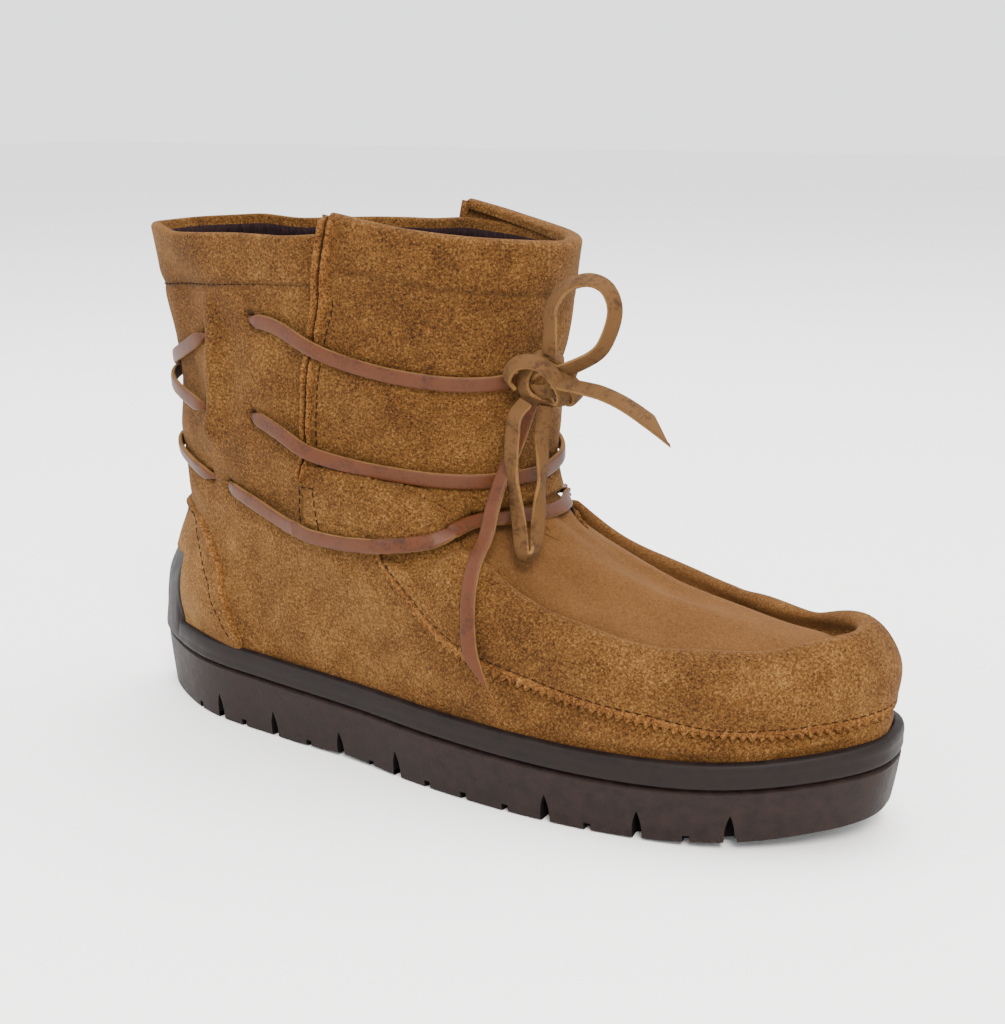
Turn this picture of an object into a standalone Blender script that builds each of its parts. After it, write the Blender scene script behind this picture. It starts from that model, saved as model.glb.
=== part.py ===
"""Moccasin ankle boot for the right foot, standing empty on its rubber sole.

Metres, +Z up, +X to the toe, the outer side of the foot at -Y, and the origin on the floor
under the middle of the sole's length. Every suede piece is cut from one surface, face(turn, level):
turn runs once round the boot (0 back, 0.25 outer side, 0.5 toe, 0.75 inner side) and level
climbs through the loops of the table below, from the hem in the sole to above the collar.
"""
import math

import bmesh
import bpy
import numpy as np

# Driving sizes, metres
OUTSOLE_LENGTH = 0.275
BALL_HALF_WIDTH = 0.052
BOOT_HEIGHT = 0.170
UPPER_WALL = 0.0022
PANEL_THICKNESS = 0.0014
COLLAR_FOLD = 0.0006
LIP_WALL = 0.0030
LIP_HEIGHT = 0.0082
GROOVE_HEIGHT_HEEL = 0.0220
GROOVE_HEIGHT_TOE = 0.0165
GROOVE_DEPTH = 0.0013
GROOVE_HALF = 0.0011
FLOOR_DROP = 0.0045
SOLE_TAPER = 0.0022
SOLE_EDGE = 0.0014
TOE_SPRING = 0.0078
SPRING_START = 0.70
ARCH_HOLLOW = 0.0012
ARCH_MIDDLE = 0.38
ARCH_HALF_SPAN = 0.088
HEEL_TAB_TURN = 0.098
HEEL_TAB_RAMP = 0.014
HEEL_TAB_LEVELS = 1.62
COUNTER_SPREAD = 0.0040
COUNTER_LIP_GAP = 0.07
INSOLE_THICKNESS = 0.0040
NOTCH_WIDTH = 0.0028
NOTCH_HEIGHT = 0.0092
NOTCH_DEPTH = 0.0075
NICK_WIDTH = 0.0022
NICK_HEIGHT = 0.0026
NICK_DEPTH = 0.0060
CHANNEL_DEPTH = 0.0022
SEAM_RIDGE_WIDTH = 0.0022
SEAM_RIDGE_HEIGHT = 0.0018
SIDE_SEAM_WIDTH_TOP = 0.0044
SIDE_SEAM_WIDTH_FOOT = 0.0026
SIDE_SEAM_HEIGHT = 0.0032
LACE_WIDTH = 0.0046
LACE_THICKNESS = 0.0018
LACE_CORE_RADIUS = 0.0013
KNOT_SIZE = (0.0100, 0.0060, 0.0080)
CLEARANCE = 0.0003
KNOT_CLEARANCE = 0.0009
PANEL_GAP = 0.0005
BAND_GAP = 0.0012
SHAFT_GAP = 0.0008
FOOT_FLARE = 0.0022
FOOT_FLARE_HEIGHT = 0.62
FOOT_FLARE_SPAN = 0.07

# Stations along a loop, as shares of its length from the back, and the outsole's half widths
# there, as shares of the half width at the ball
STATIONS = (0.0, 0.12, 0.25, 0.40, 0.52, 0.62, 0.74, 0.88, 1.0)
OUTLINE_OUTER = (0.66, 0.82, 0.785, 0.80, 0.885, 0.945, 0.985, 0.99, 0.81)
OUTLINE_INNER = (0.70, 0.80, 0.75, 0.70, 0.77, 0.86, 0.90, 0.885, 0.81)
HEEL_ROUND = 0.95
TOE_ROUND = 0.76

# Loops above the sole. Back and front are shares of the outsole length from the origin, foot
# is how much of the foot's left and right difference the loop keeps, and heel and toe are the
# roundness of its ends
LOOPS = (
    # name, back, front, foot, heel, toe
    ("seam", -0.441, 0.480, 1.0, 0.95, 0.76),
    ("band", -0.440, 0.480, 1.0, 0.95, 0.76),
    ("crown", -0.438, 0.455, 0.8, 0.90, 0.80),
    ("valley", -0.437, 0.436, 0.7, 0.90, 0.80),
    ("fore", -0.436, 0.333, 0.4, 0.90, 0.80),
    ("aft", -0.435, 0.186, 0.2, 0.90, 0.80),
    ("throat", -0.434, 0.077, 0.0, 0.88, 0.82),
    ("ankle", -0.432, 0.070, 0.0, 0.85, 0.85),
    ("stitch", -0.447, 0.085, 0.0, 0.85, 0.85),
    ("collar", -0.464, 0.091, 0.0, 0.85, 0.85),
    ("top", -0.470, 0.093, 0.0, 0.85, 0.85),
)
# Half width of each loop at the stations, as shares of the half width at the ball
WIDTHS = {
    "seam": (0.84, 0.82, 0.80, 0.82, 0.86, 0.88, 0.89, 0.87, 0.74),
    "band": (0.84, 0.82, 0.80, 0.81, 0.82, 0.84, 0.87, 0.87, 0.75),
    "crown": (0.84, 0.82, 0.80, 0.79, 0.73, 0.75, 0.77, 0.70, 0.56),
    "valley": (0.84, 0.82, 0.80, 0.77, 0.68, 0.63, 0.65, 0.60, 0.46),
    "fore": (0.82, 0.81, 0.80, 0.78, 0.72, 0.56, 0.41, 0.30, 0.24),
    "aft": (0.80, 0.80, 0.79, 0.78, 0.74, 0.68, 0.50, 0.28, 0.22),
    "throat": (0.77, 0.78, 0.79, 0.78, 0.77, 0.74, 0.70, 0.64, 0.60),
    "ankle": (0.74, 0.75, 0.76, 0.76, 0.76, 0.75, 0.74, 0.72, 0.70),
    "stitch": (0.78, 0.79, 0.80, 0.80, 0.80, 0.79, 0.78, 0.76, 0.74),
    "collar": (0.80, 0.81, 0.82, 0.82, 0.82, 0.81, 0.80, 0.78, 0.76),
    "top": (0.81, 0.82, 0.83, 0.83, 0.83, 0.82, 0.81, 0.79, 0.77),
}
# Height of each loop at the stations, as shares of the boot height
HEIGHTS = {
    "seam": (0.39, 0.40, 0.42, 0.445, 0.305, 0.262, 0.232, 0.215, 0.235),
    "band": (0.42, 0.43, 0.45, 0.475, 0.385, 0.320, 0.285, 0.270, 0.295),
    "crown": (0.45, 0.46, 0.475, 0.510, 0.465, 0.380, 0.332, 0.318, 0.350),
    "valley": (0.48, 0.49, 0.505, 0.535, 0.475, 0.370, 0.325, 0.295, 0.330),
    "fore": (0.515, 0.525, 0.535, 0.560, 0.530, 0.465, 0.400, 0.370, 0.345),
    "aft": (0.55, 0.56, 0.57, 0.585, 0.572, 0.545, 0.500, 0.452, 0.400),
    "throat": (0.59, 0.595, 0.60, 0.605, 0.60, 0.59, 0.57, 0.54, 0.515),
    "ankle": (0.70, 0.70, 0.705, 0.71, 0.71, 0.71, 0.705, 0.70, 0.70),
    "stitch": (0.885, 0.89, 0.895, 0.90, 0.90, 0.90, 0.895, 0.885, 0.88),
    "collar": (0.99, 0.995, 1.00, 1.005, 1.005, 1.00, 0.993, 0.985, 0.98),
    "top": (1.04, 1.045, 1.05, 1.055, 1.055, 1.05, 1.043, 1.035, 1.03),
}
WIDE_BULGE = 0.0010
WIDE_SHARE = 0.35
LEVELS = ("hem", "lip", "wide") + tuple(loop[0] for loop in LOOPS)
LEVEL = {name: float(number) for number, name in enumerate(LEVELS)}

# Edges of the rim band and counter as (turn, level) on the outer half; the inner half mirrors them
BAND_END = ((0.222, 3.0), (0.236, 3.75), (0.254, 4.75), (0.269, 5.7), (0.276, 6.15))
COUNTER_TOP = ((-0.150, 1.25), (-0.141, 2.0), (-0.127, 2.5), (-0.092, 3.1), (-0.066, 4.2), (0.0, 4.4),
               (0.066, 4.2), (0.092, 3.1), (0.127, 2.5), (0.141, 2.0), (0.150, 1.25))

# Places on the shaft as (bearing, height): degrees round the shaft's middle, 0 at the back, 90 on
# the outer side and 180 in front, and shares of the boot height. The inner side mirrors them
PANEL_FOOT = ((98.0, 0.466), (106.0, 0.452), (116.0, 0.446), (129.0, 0.452), (140.0, 0.466),
              (151.0, 0.488), (164.0, 0.512), (180.0, 0.518))
PANEL_TOP = ((112.0, 1.045), (140.0, 1.026), (180.0, 1.012))
SIDE_SEAM_LINE = ((98.2, 0.555), (98.0, 0.60), (99.8, 0.70), (103.8, 0.80), (108.5, 0.87),
                  (111.2, 0.96), (113.6, 1.053))
SIDE_SEAM_MARGIN = 3.2

# Side notches of the sole, as shares of the outsole length from the origin
NOTCHES = (-0.334, -0.238, -0.130, -0.041, 0.164, 0.270, 0.367)
NICKS = (-0.381, -0.292, -0.182, -0.082, 0.005, 0.057, 0.113, 0.214, 0.323, 0.404)

# Lace stretches as (bearing, height, lift of the lace's middle off the upper)
LACE_TOP = ((72.0, 0.842, 0.0013), (82.0, 0.840, 0.0026), (91.0, 0.829, 0.0040),
            (105.0, 0.804, 0.0052), (120.0, 0.781, 0.0044), (137.0, 0.761, 0.0040),
            (150.0, 0.750, 0.0038), (160.0, 0.747, 0.0038))
LACE_TOP_REACH = (169.0, 0.757, 0.0040)
LACE_MIDDLE = ((69.0, 0.657, 0.0013), (79.0, 0.648, 0.0026), (88.0, 0.635, 0.0042),
               (102.0, 0.609, 0.0064), (119.0, 0.592, 0.0064), (137.0, 0.581, 0.0064),
               (151.0, 0.571, 0.0067), (163.0, 0.566, 0.0068), (172.0, 0.566, 0.0068),
               (180.0, 0.574, 0.0062), (188.0, 0.588, 0.0058), (198.0, 0.606, 0.0048),
               (212.0, 0.622, 0.0044), (228.0, 0.630, 0.0044), (243.0, 0.634, 0.0048),
               (258.0, 0.638, 0.0054), (272.0, 0.644, 0.0040), (281.0, 0.650, 0.0026),
               (291.0, 0.656, 0.0013))
LACE_LOW = ((48.0, 0.505, 0.0014), (64.0, 0.486, 0.0024), (82.0, 0.467, 0.0042),
            (98.0, 0.455, 0.0062), (117.0, 0.450, 0.0070), (129.0, 0.453, 0.0078),
            (140.0, 0.462, 0.0092), (151.0, 0.477, 0.0098), (163.0, 0.488, 0.0096),
            (172.0, 0.485, 0.0090), (180.0, 0.484, 0.0088))
LACE_BACK_FALLING = ((49.0, 0.800, 0.0013), (32.0, 0.751, 0.0016), (18.0, 0.722, 0.0018),
                     (0.0, 0.690, 0.0018), (-24.0, 0.660, 0.0016), (-49.0, 0.640, 0.0013))
LACE_BACK_LOW = ((40.0, 0.505, 0.0013), (31.0, 0.520, 0.0015), (16.0, 0.552, 0.0019),
                 (0.0, 0.565, 0.0019))
SHAFT_MIDDLE = -0.18
LACE_STEPS = 20
ROUTE_SAMPLES = 400

# Columns round the upper and its rows by level; the wall's inner face needs fewer rows
UPPER_COLUMNS = 44
OUTER_ROWS = (0, 1, 1.5, 2, 2.5, 3, 3.6, 4.2, 4.7, 5.2, 5.7, 6.1, 6.6, 7.1, 7.6, 8, 8.4, 8.7, 9, 9.15, 9.3,
              9.6, 10, 10.5, 10.9, 11.1, 12)
INNER_ROWS = (0, 1, 2, 3, 4.2, 5.2, 6.2, 7.4, 8.5, 9.2, 10, 12)
BAND_ROWS = (3, 3.6, 4.2, 4.7, 5.2, 5.4)

# Middle lines of the lace's free stretches, chosen by hand, metres
LOOP_UPPER_POINTS = ((0.0330, -0.0205, 0.1405), (0.0325, -0.0210, 0.1460), (0.0335, -0.0220, 0.1515),
                     (0.0385, -0.0235, 0.1575), (0.0465, -0.0250, 0.1603), (0.0530, -0.0260, 0.1585),
                     (0.0558, -0.0262, 0.1525), (0.0535, -0.0255, 0.1445), (0.0485, -0.0240, 0.1385),
                     (0.0440, -0.0222, 0.1345))
LOOP_HANGING_POINTS = ((0.0250, -0.0240, 0.1215), (0.0226, -0.0266, 0.1190), (0.0205, -0.0262, 0.1130),
                       (0.0200, -0.0260, 0.1045), (0.0212, -0.0252, 0.0950), (0.0242, -0.0262, 0.0855),
                       (0.0278, -0.0290, 0.0780), (0.0300, -0.0282, 0.0765), (0.0296, -0.0240, 0.0800),
                       (0.0292, -0.0215, 0.0875), (0.0288, -0.0198, 0.0940), (0.0284, -0.0178, 0.1030),
                       (0.0278, -0.0172, 0.1110), (0.0300, -0.0180, 0.1180))
END_SIDE_POINTS = ((0.0400, -0.0240, 0.1282), (0.0480, -0.0285, 0.1296), (0.0555, -0.0310, 0.1290),
                   (0.0640, -0.0340, 0.1270), (0.0730, -0.0370, 0.1235), (0.0815, -0.0400, 0.1200))
END_FRONT_POINTS = ((0.0222, -0.0178, 0.1175), (0.0200, -0.0192, 0.1080), (0.0178, -0.0240, 0.0985),
                    (0.0180, -0.0304, 0.0900), (0.0180, -0.0338, 0.0830), (0.0182, -0.0408, 0.0765),
                    (0.0186, -0.0448, 0.0700), (0.0196, -0.0478, 0.0625), (0.0218, -0.0502, 0.0515),
                    (0.0262, -0.0512, 0.0400))
KNOT_CENTRE = (0.0283, -0.0174, 0.1298)
KNOT_TURN = math.radians(52)

SUEDE_TAN = (0.36, 0.18, 0.06, 1.0)
SUEDE_APRON = (0.28, 0.14, 0.07, 1.0)
LACE_BROWN = (0.25, 0.09, 0.04, 1.0)
RUBBER_BROWN = (0.055, 0.036, 0.032, 1.0)
FOOTBED_BROWN = (0.07, 0.04, 0.04, 1.0)


def curve(knots, values, at):
    """Smooth curve through the rows of values at the knots, read at `at`."""
    knots = np.asarray(knots, float)
    values = np.asarray(values, float)
    at = np.asarray(at, float)
    slope = np.gradient(values, knots, axis=0)
    low = np.clip(np.searchsorted(knots, at, side="right") - 1, 0, len(knots) - 2)
    span = knots[low + 1] - knots[low]
    part = (at - knots[low]) / span
    if values.ndim > 1:
        part = part[..., None]
        span = span[..., None]
    start = values[low] * (1 + 2 * part) * (1 - part) ** 2 + slope[low] * span * part * (1 - part) ** 2
    end = values[low + 1] * part ** 2 * (3 - 2 * part) - slope[low + 1] * span * part ** 2 * (1 - part)
    return start + end


def curve_across(knots, values, at):
    """The same curve where each point has its own row of values, on the last axis."""
    knots = np.asarray(knots, float)
    slope = np.gradient(values, knots, axis=-1)
    low = np.clip(np.searchsorted(knots, at, side="right") - 1, 0, len(knots) - 2)
    span = knots[low + 1] - knots[low]
    part = (at - knots[low]) / span

    def pick(table, column):
        return np.take_along_axis(table, column[..., None], -1)[..., 0]

    start = pick(values, low) * (1 + 2 * part) * (1 - part) ** 2
    start += pick(slope, low) * span * part * (1 - part) ** 2
    end = pick(values, low + 1) * part ** 2 * (3 - 2 * part)
    end -= pick(slope, low + 1) * span * part ** 2 * (1 - part)
    return start + end


def spring(share):
    """Height of the tread above the floor towards the toe."""
    return TOE_SPRING * np.clip((share - SPRING_START) / (1 - SPRING_START), 0, 1) ** 2


def groove_height(share):
    """Height of the groove under the sole's lip."""
    return GROOVE_HEIGHT_HEEL + (GROOVE_HEIGHT_TOE - GROOVE_HEIGHT_HEEL) * share + spring(share)


def share_of(turn):
    """Share of a loop's length reached at a turn, with points gathered at both ends."""
    return (1 - np.cos(2 * np.pi * np.asarray(turn, float))) / 2


def side_of(turn):
    """-1 on the outer side of the foot and 1 on the inner side."""
    return np.where(np.asarray(turn, float) % 1.0 < 0.5, -1.0, 1.0)


def sole_outline(turn, inset):
    """The outsole's outline in plan, moved inwards by inset."""
    share = share_of(turn)
    outer = curve(STATIONS, OUTLINE_OUTER, share)
    inner = curve(STATIONS, OUTLINE_INNER, share)
    half = np.where(side_of(turn) < 0, outer, inner) * BALL_HALF_WIDTH - inset
    roundness = HEEL_ROUND + (TOE_ROUND - HEEL_ROUND) * share
    y = side_of(turn) * half * np.abs(np.sin(2 * np.pi * turn)) ** roundness
    return (share - 0.5) * (OUTSOLE_LENGTH - 2 * inset), y


def loop_table():
    """One row for each level: back, front, foot, heel, toe, half widths, heights."""
    groove = groove_height(np.array(STATIONS))
    inset = LIP_WALL + CLEARANCE
    half_length = OUTSOLE_LENGTH / 2 - inset
    half_widths = np.array(OUTLINE_OUTER) * BALL_HALF_WIDTH - inset
    ends = (1.0, HEEL_ROUND, TOE_ROUND)
    lip_top = groove + LIP_HEIGHT
    seam = np.array(HEIGHTS["seam"]) * BOOT_HEIGHT
    wide = lip_top + (seam - lip_top) * WIDE_SHARE
    rows = [np.hstack([-half_length, half_length, ends, half_widths, groove - FLOOR_DROP]),
            np.hstack([-half_length, half_length, ends, half_widths, lip_top]),
            np.hstack([-half_length, half_length, ends, half_widths + WIDE_BULGE, wide])]
    for name, back, front, foot, heel, toe in LOOPS:
        widths = np.array(WIDTHS[name]) * BALL_HALF_WIDTH
        heights = np.array(HEIGHTS[name]) * BOOT_HEIGHT
        ends = (back * OUTSOLE_LENGTH, front * OUTSOLE_LENGTH, foot, heel, toe)
        rows.append(np.hstack([ends, widths, heights]))
    return np.array(rows)


LOOP_ROWS = loop_table()


def face(turn, level):
    """Point on the upper's outer face."""
    turn, level = np.broadcast_arrays(np.asarray(turn, float) % 1.0, np.asarray(level, float))
    row = curve(np.arange(len(LOOP_ROWS)), LOOP_ROWS, level)
    back, front, foot, heel, toe = (row[..., column] for column in range(5))
    count = len(STATIONS)
    share = share_of(turn)
    half = curve_across(STATIONS, row[..., 5:5 + count], share)
    height = curve_across(STATIONS, row[..., 5 + count:], share)
    ratio = curve(STATIONS, np.array(OUTLINE_INNER) / np.array(OUTLINE_OUTER), share)
    half = np.where(side_of(turn) < 0, half, half * (1 + foot * (ratio - 1)))
    roundness = heel + (toe - heel) * share
    y = side_of(turn) * half * np.abs(np.sin(2 * np.pi * turn)) ** roundness
    return np.stack([back + (front - back) * share, y, height], -1)


def outward(turn, level):
    """Unit normal of the upper's outer face."""
    step = 0.002
    above = np.minimum(level + step * 10, LEVEL["top"])
    below = np.maximum(level - step * 10, 0)
    onward = face(turn + step, level) - face(turn - step, level)
    normal = np.cross(onward, face(turn, above) - face(turn, below))
    return normal / np.linalg.norm(normal, axis=-1)[..., None]


def skin(turn, level, offset):
    """Point at an offset outside the upper's outer face."""
    turn, level, offset = np.broadcast_arrays(np.asarray(turn, float), np.asarray(level, float), offset)
    return face(turn, level) + outward(turn, level) * offset[..., None]


def collar_fold(level):
    """Extra thickness of the turned-over edge above the collar stitch."""
    return COLLAR_FOLD * np.clip((level - LEVEL["stitch"]) * 6, 0, 1)


def foot_flare(height):
    """How far the foot of the shaft's panel and seams stands off the ridge under it."""
    return FOOT_FLARE * np.clip((FOOT_FLARE_HEIGHT - height) / FOOT_FLARE_SPAN, 0, 1)


def lip_level(turn, spread=0.0):
    """Level of the sole's lip: the lip loop, raised into a tab at the back of the heel."""
    from_back = np.minimum(turn % 1.0, 1 - turn % 1.0)
    ramp = np.clip((HEEL_TAB_TURN + spread - from_back) / HEEL_TAB_RAMP + 0.5, 0, 1)
    return LEVEL["lip"] + HEEL_TAB_LEVELS * ramp ** 2 * (3 - 2 * ramp)


def tab_turns(spread):
    """Turns at which the edge of the heel tab, moved round by a spread, is stepped."""
    return HEEL_TAB_TURN + spread + HEEL_TAB_RAMP * np.linspace(-0.5, 0.5, 5)


def around(bearing, height):
    """Turn and level of the places at given bearings and heights on the shaft."""
    bearing, height = np.broadcast_arrays(np.asarray(bearing, float), np.asarray(height, float))
    turns = np.linspace(0, 0.5, 161)
    levels = np.linspace(LEVEL["seam"], LEVEL["top"], 141)
    spots = face(turns[None], levels[:, None])
    seen = np.degrees(np.arctan2(np.abs(spots[..., 1]), SHAFT_MIDDLE * OUTSOLE_LENGTH - spots[..., 0]))
    wanted = np.minimum(bearing % 360, 360 - bearing % 360)
    turn = np.stack([np.interp(wanted, row, turns) for row in seen])
    rise = np.stack([np.interp(found, turns, row) for found, row in zip(turn, spots[..., 2])])
    rise = np.maximum.accumulate(rise, axis=0)
    below = np.clip((rise < height * BOOT_HEIGHT).sum(axis=0) - 1, 0, len(levels) - 2)[None]
    low = np.take_along_axis(rise, below, 0)[0]
    high = np.take_along_axis(rise, below + 1, 0)[0]
    part = np.clip((height * BOOT_HEIGHT - low) / np.maximum(high - low, 1e-9), 0, 1)
    level = levels[below[0]] + part * (levels[1] - levels[0])
    turn_below = np.take_along_axis(turn, below, 0)[0]
    turn_above = np.take_along_axis(turn, below + 1, 0)[0]
    turn = turn_below + part * (turn_above - turn_below)
    return np.where(bearing % 360 > 180, 1 - turn, turn), level


def material(name, colour, roughness):
    """A Principled material with one colour."""
    made = bpy.data.materials.new(name)
    made.use_nodes = True
    shader = made.node_tree.nodes["Principled BSDF"]
    shader.inputs["Base Color"].default_value = colour
    shader.inputs["Roughness"].default_value = roughness
    return made


def add_object(name, mesh, collection, colour, roughness):
    """Link a mesh as a named object with its own material."""
    made = bpy.data.objects.new(name, mesh)
    mesh.materials.append(material(name + "_finish", colour, roughness))
    collection.objects.link(made)
    return made


def mesh_from(name, points, faces):
    """Mesh of points and faces, with its normals turned outwards."""
    mesh = bpy.data.meshes.new(name)
    mesh.from_pydata([tuple(point) for point in points], [], faces)
    shaped = bmesh.new()
    shaped.from_mesh(mesh)
    bmesh.ops.recalc_face_normals(shaped, faces=shaped.faces)
    shaped.to_mesh(mesh)
    shaped.free()
    mesh.shade_smooth()
    mesh.set_sharp_from_angle(angle=math.radians(35))
    return mesh


def ring_faces(rings, count, closed):
    """Quads between rings of `count` points; a closed stack joins its last ring to its first."""
    faces = []
    for ring in range(rings if closed else rings - 1):
        above = (ring + 1) % rings
        for point in range(count):
            after = (point + 1) % count
            corners = ((ring, point), (ring, after), (above, after), (above, point))
            faces.append(tuple(row * count + column for row, column in corners))
    return faces


def cap_faces(first, count):
    """Faces across one ring, joining each outer point to its partner on the inner side."""
    faces = [(first, first + 1, first + count - 1)]
    for point in range(1, count // 2 - 1):
        faces.append((first + point, first + point + 1, first + count - point - 1, first + count - point))
    faces.append((first + count // 2 - 1, first + count // 2, first + count // 2 + 1))
    return faces


def stack(name, rings):
    """Solid from a stack of rings, capped at both ends."""
    count = len(rings[0])
    faces = ring_faces(len(rings), count, False)
    faces += cap_faces(0, count) + cap_faces((len(rings) - 1) * count, count)
    return mesh_from(name, np.concatenate(rings), faces)


def tube_wall(name, rings):
    """Solid wall whose last ring joins its first."""
    return mesh_from(name, np.concatenate(rings), ring_faces(len(rings), len(rings[0]), True))


def cut_piece(name, turns, levels, inner, outer):
    """Solid between two offsets of the face, over a grid of turns and levels."""
    rows, columns = turns.shape
    low = skin(turns, levels, inner).reshape(-1, 3)
    high = skin(turns, levels, outer).reshape(-1, 3)
    size = rows * columns
    faces = []
    for row in range(rows - 1):
        for column in range(columns - 1):
            corner = row * columns + column
            quad = (corner, corner + 1, corner + columns + 1, corner + columns)
            faces.append(tuple(size + index for index in quad))
            faces.append(tuple(reversed(quad)))
    border = [column for column in range(columns)]
    border += [row * columns + columns - 1 for row in range(1, rows)]
    border += [(rows - 1) * columns + column for column in range(columns - 2, -1, -1)]
    border += [row * columns for row in range(rows - 2, 0, -1)]
    for here, there in zip(border, border[1:] + border[:1]):
        faces.append((here, there, size + there, size + here))
    return mesh_from(name, np.concatenate([low, high]), faces)


def along(points, count):
    """Points spaced evenly along the smooth curve through a short table."""
    points = np.array(points, float)
    dense = curve(np.arange(len(points)), points, np.linspace(0, len(points) - 1, ROUTE_SAMPLES))
    size = np.maximum(np.ptp(dense, axis=0), 1e-6)
    reached = np.concatenate([[0], np.cumsum(np.linalg.norm(np.diff(dense / size, axis=0), axis=1))])
    wanted = np.linspace(0, reached[-1], count)
    return np.stack([np.interp(wanted, reached, dense[:, axis]) for axis in range(points.shape[1])], -1)


def mirrored(points, whole):
    """An edge of the outer half, carried to the inner half; whole is one full turn."""
    return tuple((whole - point[0],) + tuple(point[1:]) for point in points)


def filled(left, right, bottom, top):
    """Grid of (turn, level) filling four edges, each given as evenly spaced points."""
    rows = len(left)
    columns = len(bottom)
    up = np.linspace(0, 1, rows)[:, None, None]
    across = np.linspace(0, 1, columns)[None, :, None]
    sides = left[:, None] * (1 - across) + right[:, None] * across
    ends = bottom[None] * (1 - up) + top[None] * up
    corners = (bottom[0] * (1 - up) * (1 - across) + bottom[-1] * (1 - up) * across
               + top[0] * up * (1 - across) + top[-1] * up * across)
    grid = sides + ends - corners
    return grid[..., 0], grid[..., 1]


def ribbon(name, centres, normals, widths, thickness):
    """Flat strip along centres, its flat side square to the normals."""
    tangents = np.gradient(centres, axis=0)
    across = np.cross(tangents, normals)
    across /= np.linalg.norm(across, axis=1)[:, None]
    lift = np.cross(across, tangents)
    lift /= np.linalg.norm(lift, axis=1)[:, None]
    half = np.asarray(widths)[:, None] / 2
    corners = []
    for side, height in ((-1, -1), (1, -1), (1, 1), (-1, 1)):
        corners.append(centres + across * half * side + lift * thickness / 2 * height)
    rings = np.stack(corners, 1)
    faces = ring_faces(len(rings), 4, False)
    last = (len(rings) - 1) * 4
    faces += [(3, 2, 1, 0), (last, last + 1, last + 2, last + 3)]
    return mesh_from(name, rings.reshape(-1, 3), faces)


def lace_mesh(name, route, count=LACE_STEPS):
    """Held stretch of the lace along (bearing, height, lift)."""
    bearing, height, lift = along(route, count).T
    turn, level = around(bearing, height)
    centres = skin(turn, level, lift)
    return ribbon(name, centres, outward(turn, level), np.full(count, LACE_WIDTH), LACE_THICKNESS)


def notch_cutter(name, shares, width, height, depth, pointed):
    """Cutters let into both side walls of the sole, square to its outline."""
    cutter = bmesh.new()
    half = width / 2
    below = height
    profile = [(-half, -below), (half, -below), (half, height * 0.55), (0, height), (-half, height * 0.55)]
    if not pointed:
        profile = [(-half, -below), (half, -below), (half, height), (-half, height)]
    for share in shares:
        for side in (-1, 1):
            middle = math.acos(-2 * share) / (2 * math.pi)
            turn = middle if side < 0 else 1 - middle
            step = 0.002
            x, y = sole_outline(np.array([turn - step, turn, turn + step]), 0.0)
            tangent = np.array([x[2] - x[0], y[2] - y[0]])
            tangent /= np.linalg.norm(tangent)
            inward = np.array([-tangent[1], tangent[0]])
            floor = float(spring(share + 0.5))
            corners = []
            for reach in (-0.004, depth):
                for slide, rise in profile:
                    spot = np.array([x[1], y[1]]) + tangent * slide + inward * reach
                    corners.append(cutter.verts.new((spot[0], spot[1], floor + rise)))
            count = len(profile)
            cutter.faces.new(corners[:count])
            cutter.faces.new(corners[:count - 1:-1])
            for index in range(count):
                after = (index + 1) % count
                around_face = (index, index + count, after + count, after)
                cutter.faces.new([corners[number] for number in around_face])
    bmesh.ops.recalc_face_normals(cutter, faces=cutter.faces)
    mesh = bpy.data.meshes.new(name)
    cutter.to_mesh(mesh)
    cutter.free()
    return mesh


def channel_cutter(name, shares):
    """Bars that cut the channels between lugs, right across the tread."""
    cutter = bmesh.new()
    for share in shares:
        made = bmesh.ops.create_cube(cutter, size=1.0)
        floor = float(spring(share + 0.5))
        for vertex in made["verts"]:
            vertex.co.x = vertex.co.x * NOTCH_WIDTH * 0.8 + share * OUTSOLE_LENGTH
            vertex.co.y *= BALL_HALF_WIDTH * 3
            vertex.co.z = floor + (CHANNEL_DEPTH if vertex.co.z > 0 else -CHANNEL_DEPTH * 2)
    mesh = bpy.data.meshes.new(name)
    cutter.to_mesh(mesh)
    cutter.free()
    return mesh


def cut(target, name, mesh, cutters):
    """Take a cutter mesh out of an object."""
    tool = bpy.data.objects.new(name, mesh)
    tool.hide_render = True
    tool.display_type = "WIRE"
    cutters.objects.link(tool)
    boolean = target.modifiers.new(name, "BOOLEAN")
    boolean.operation = "DIFFERENCE"
    boolean.solver = "EXACT"
    boolean.object = tool


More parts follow.
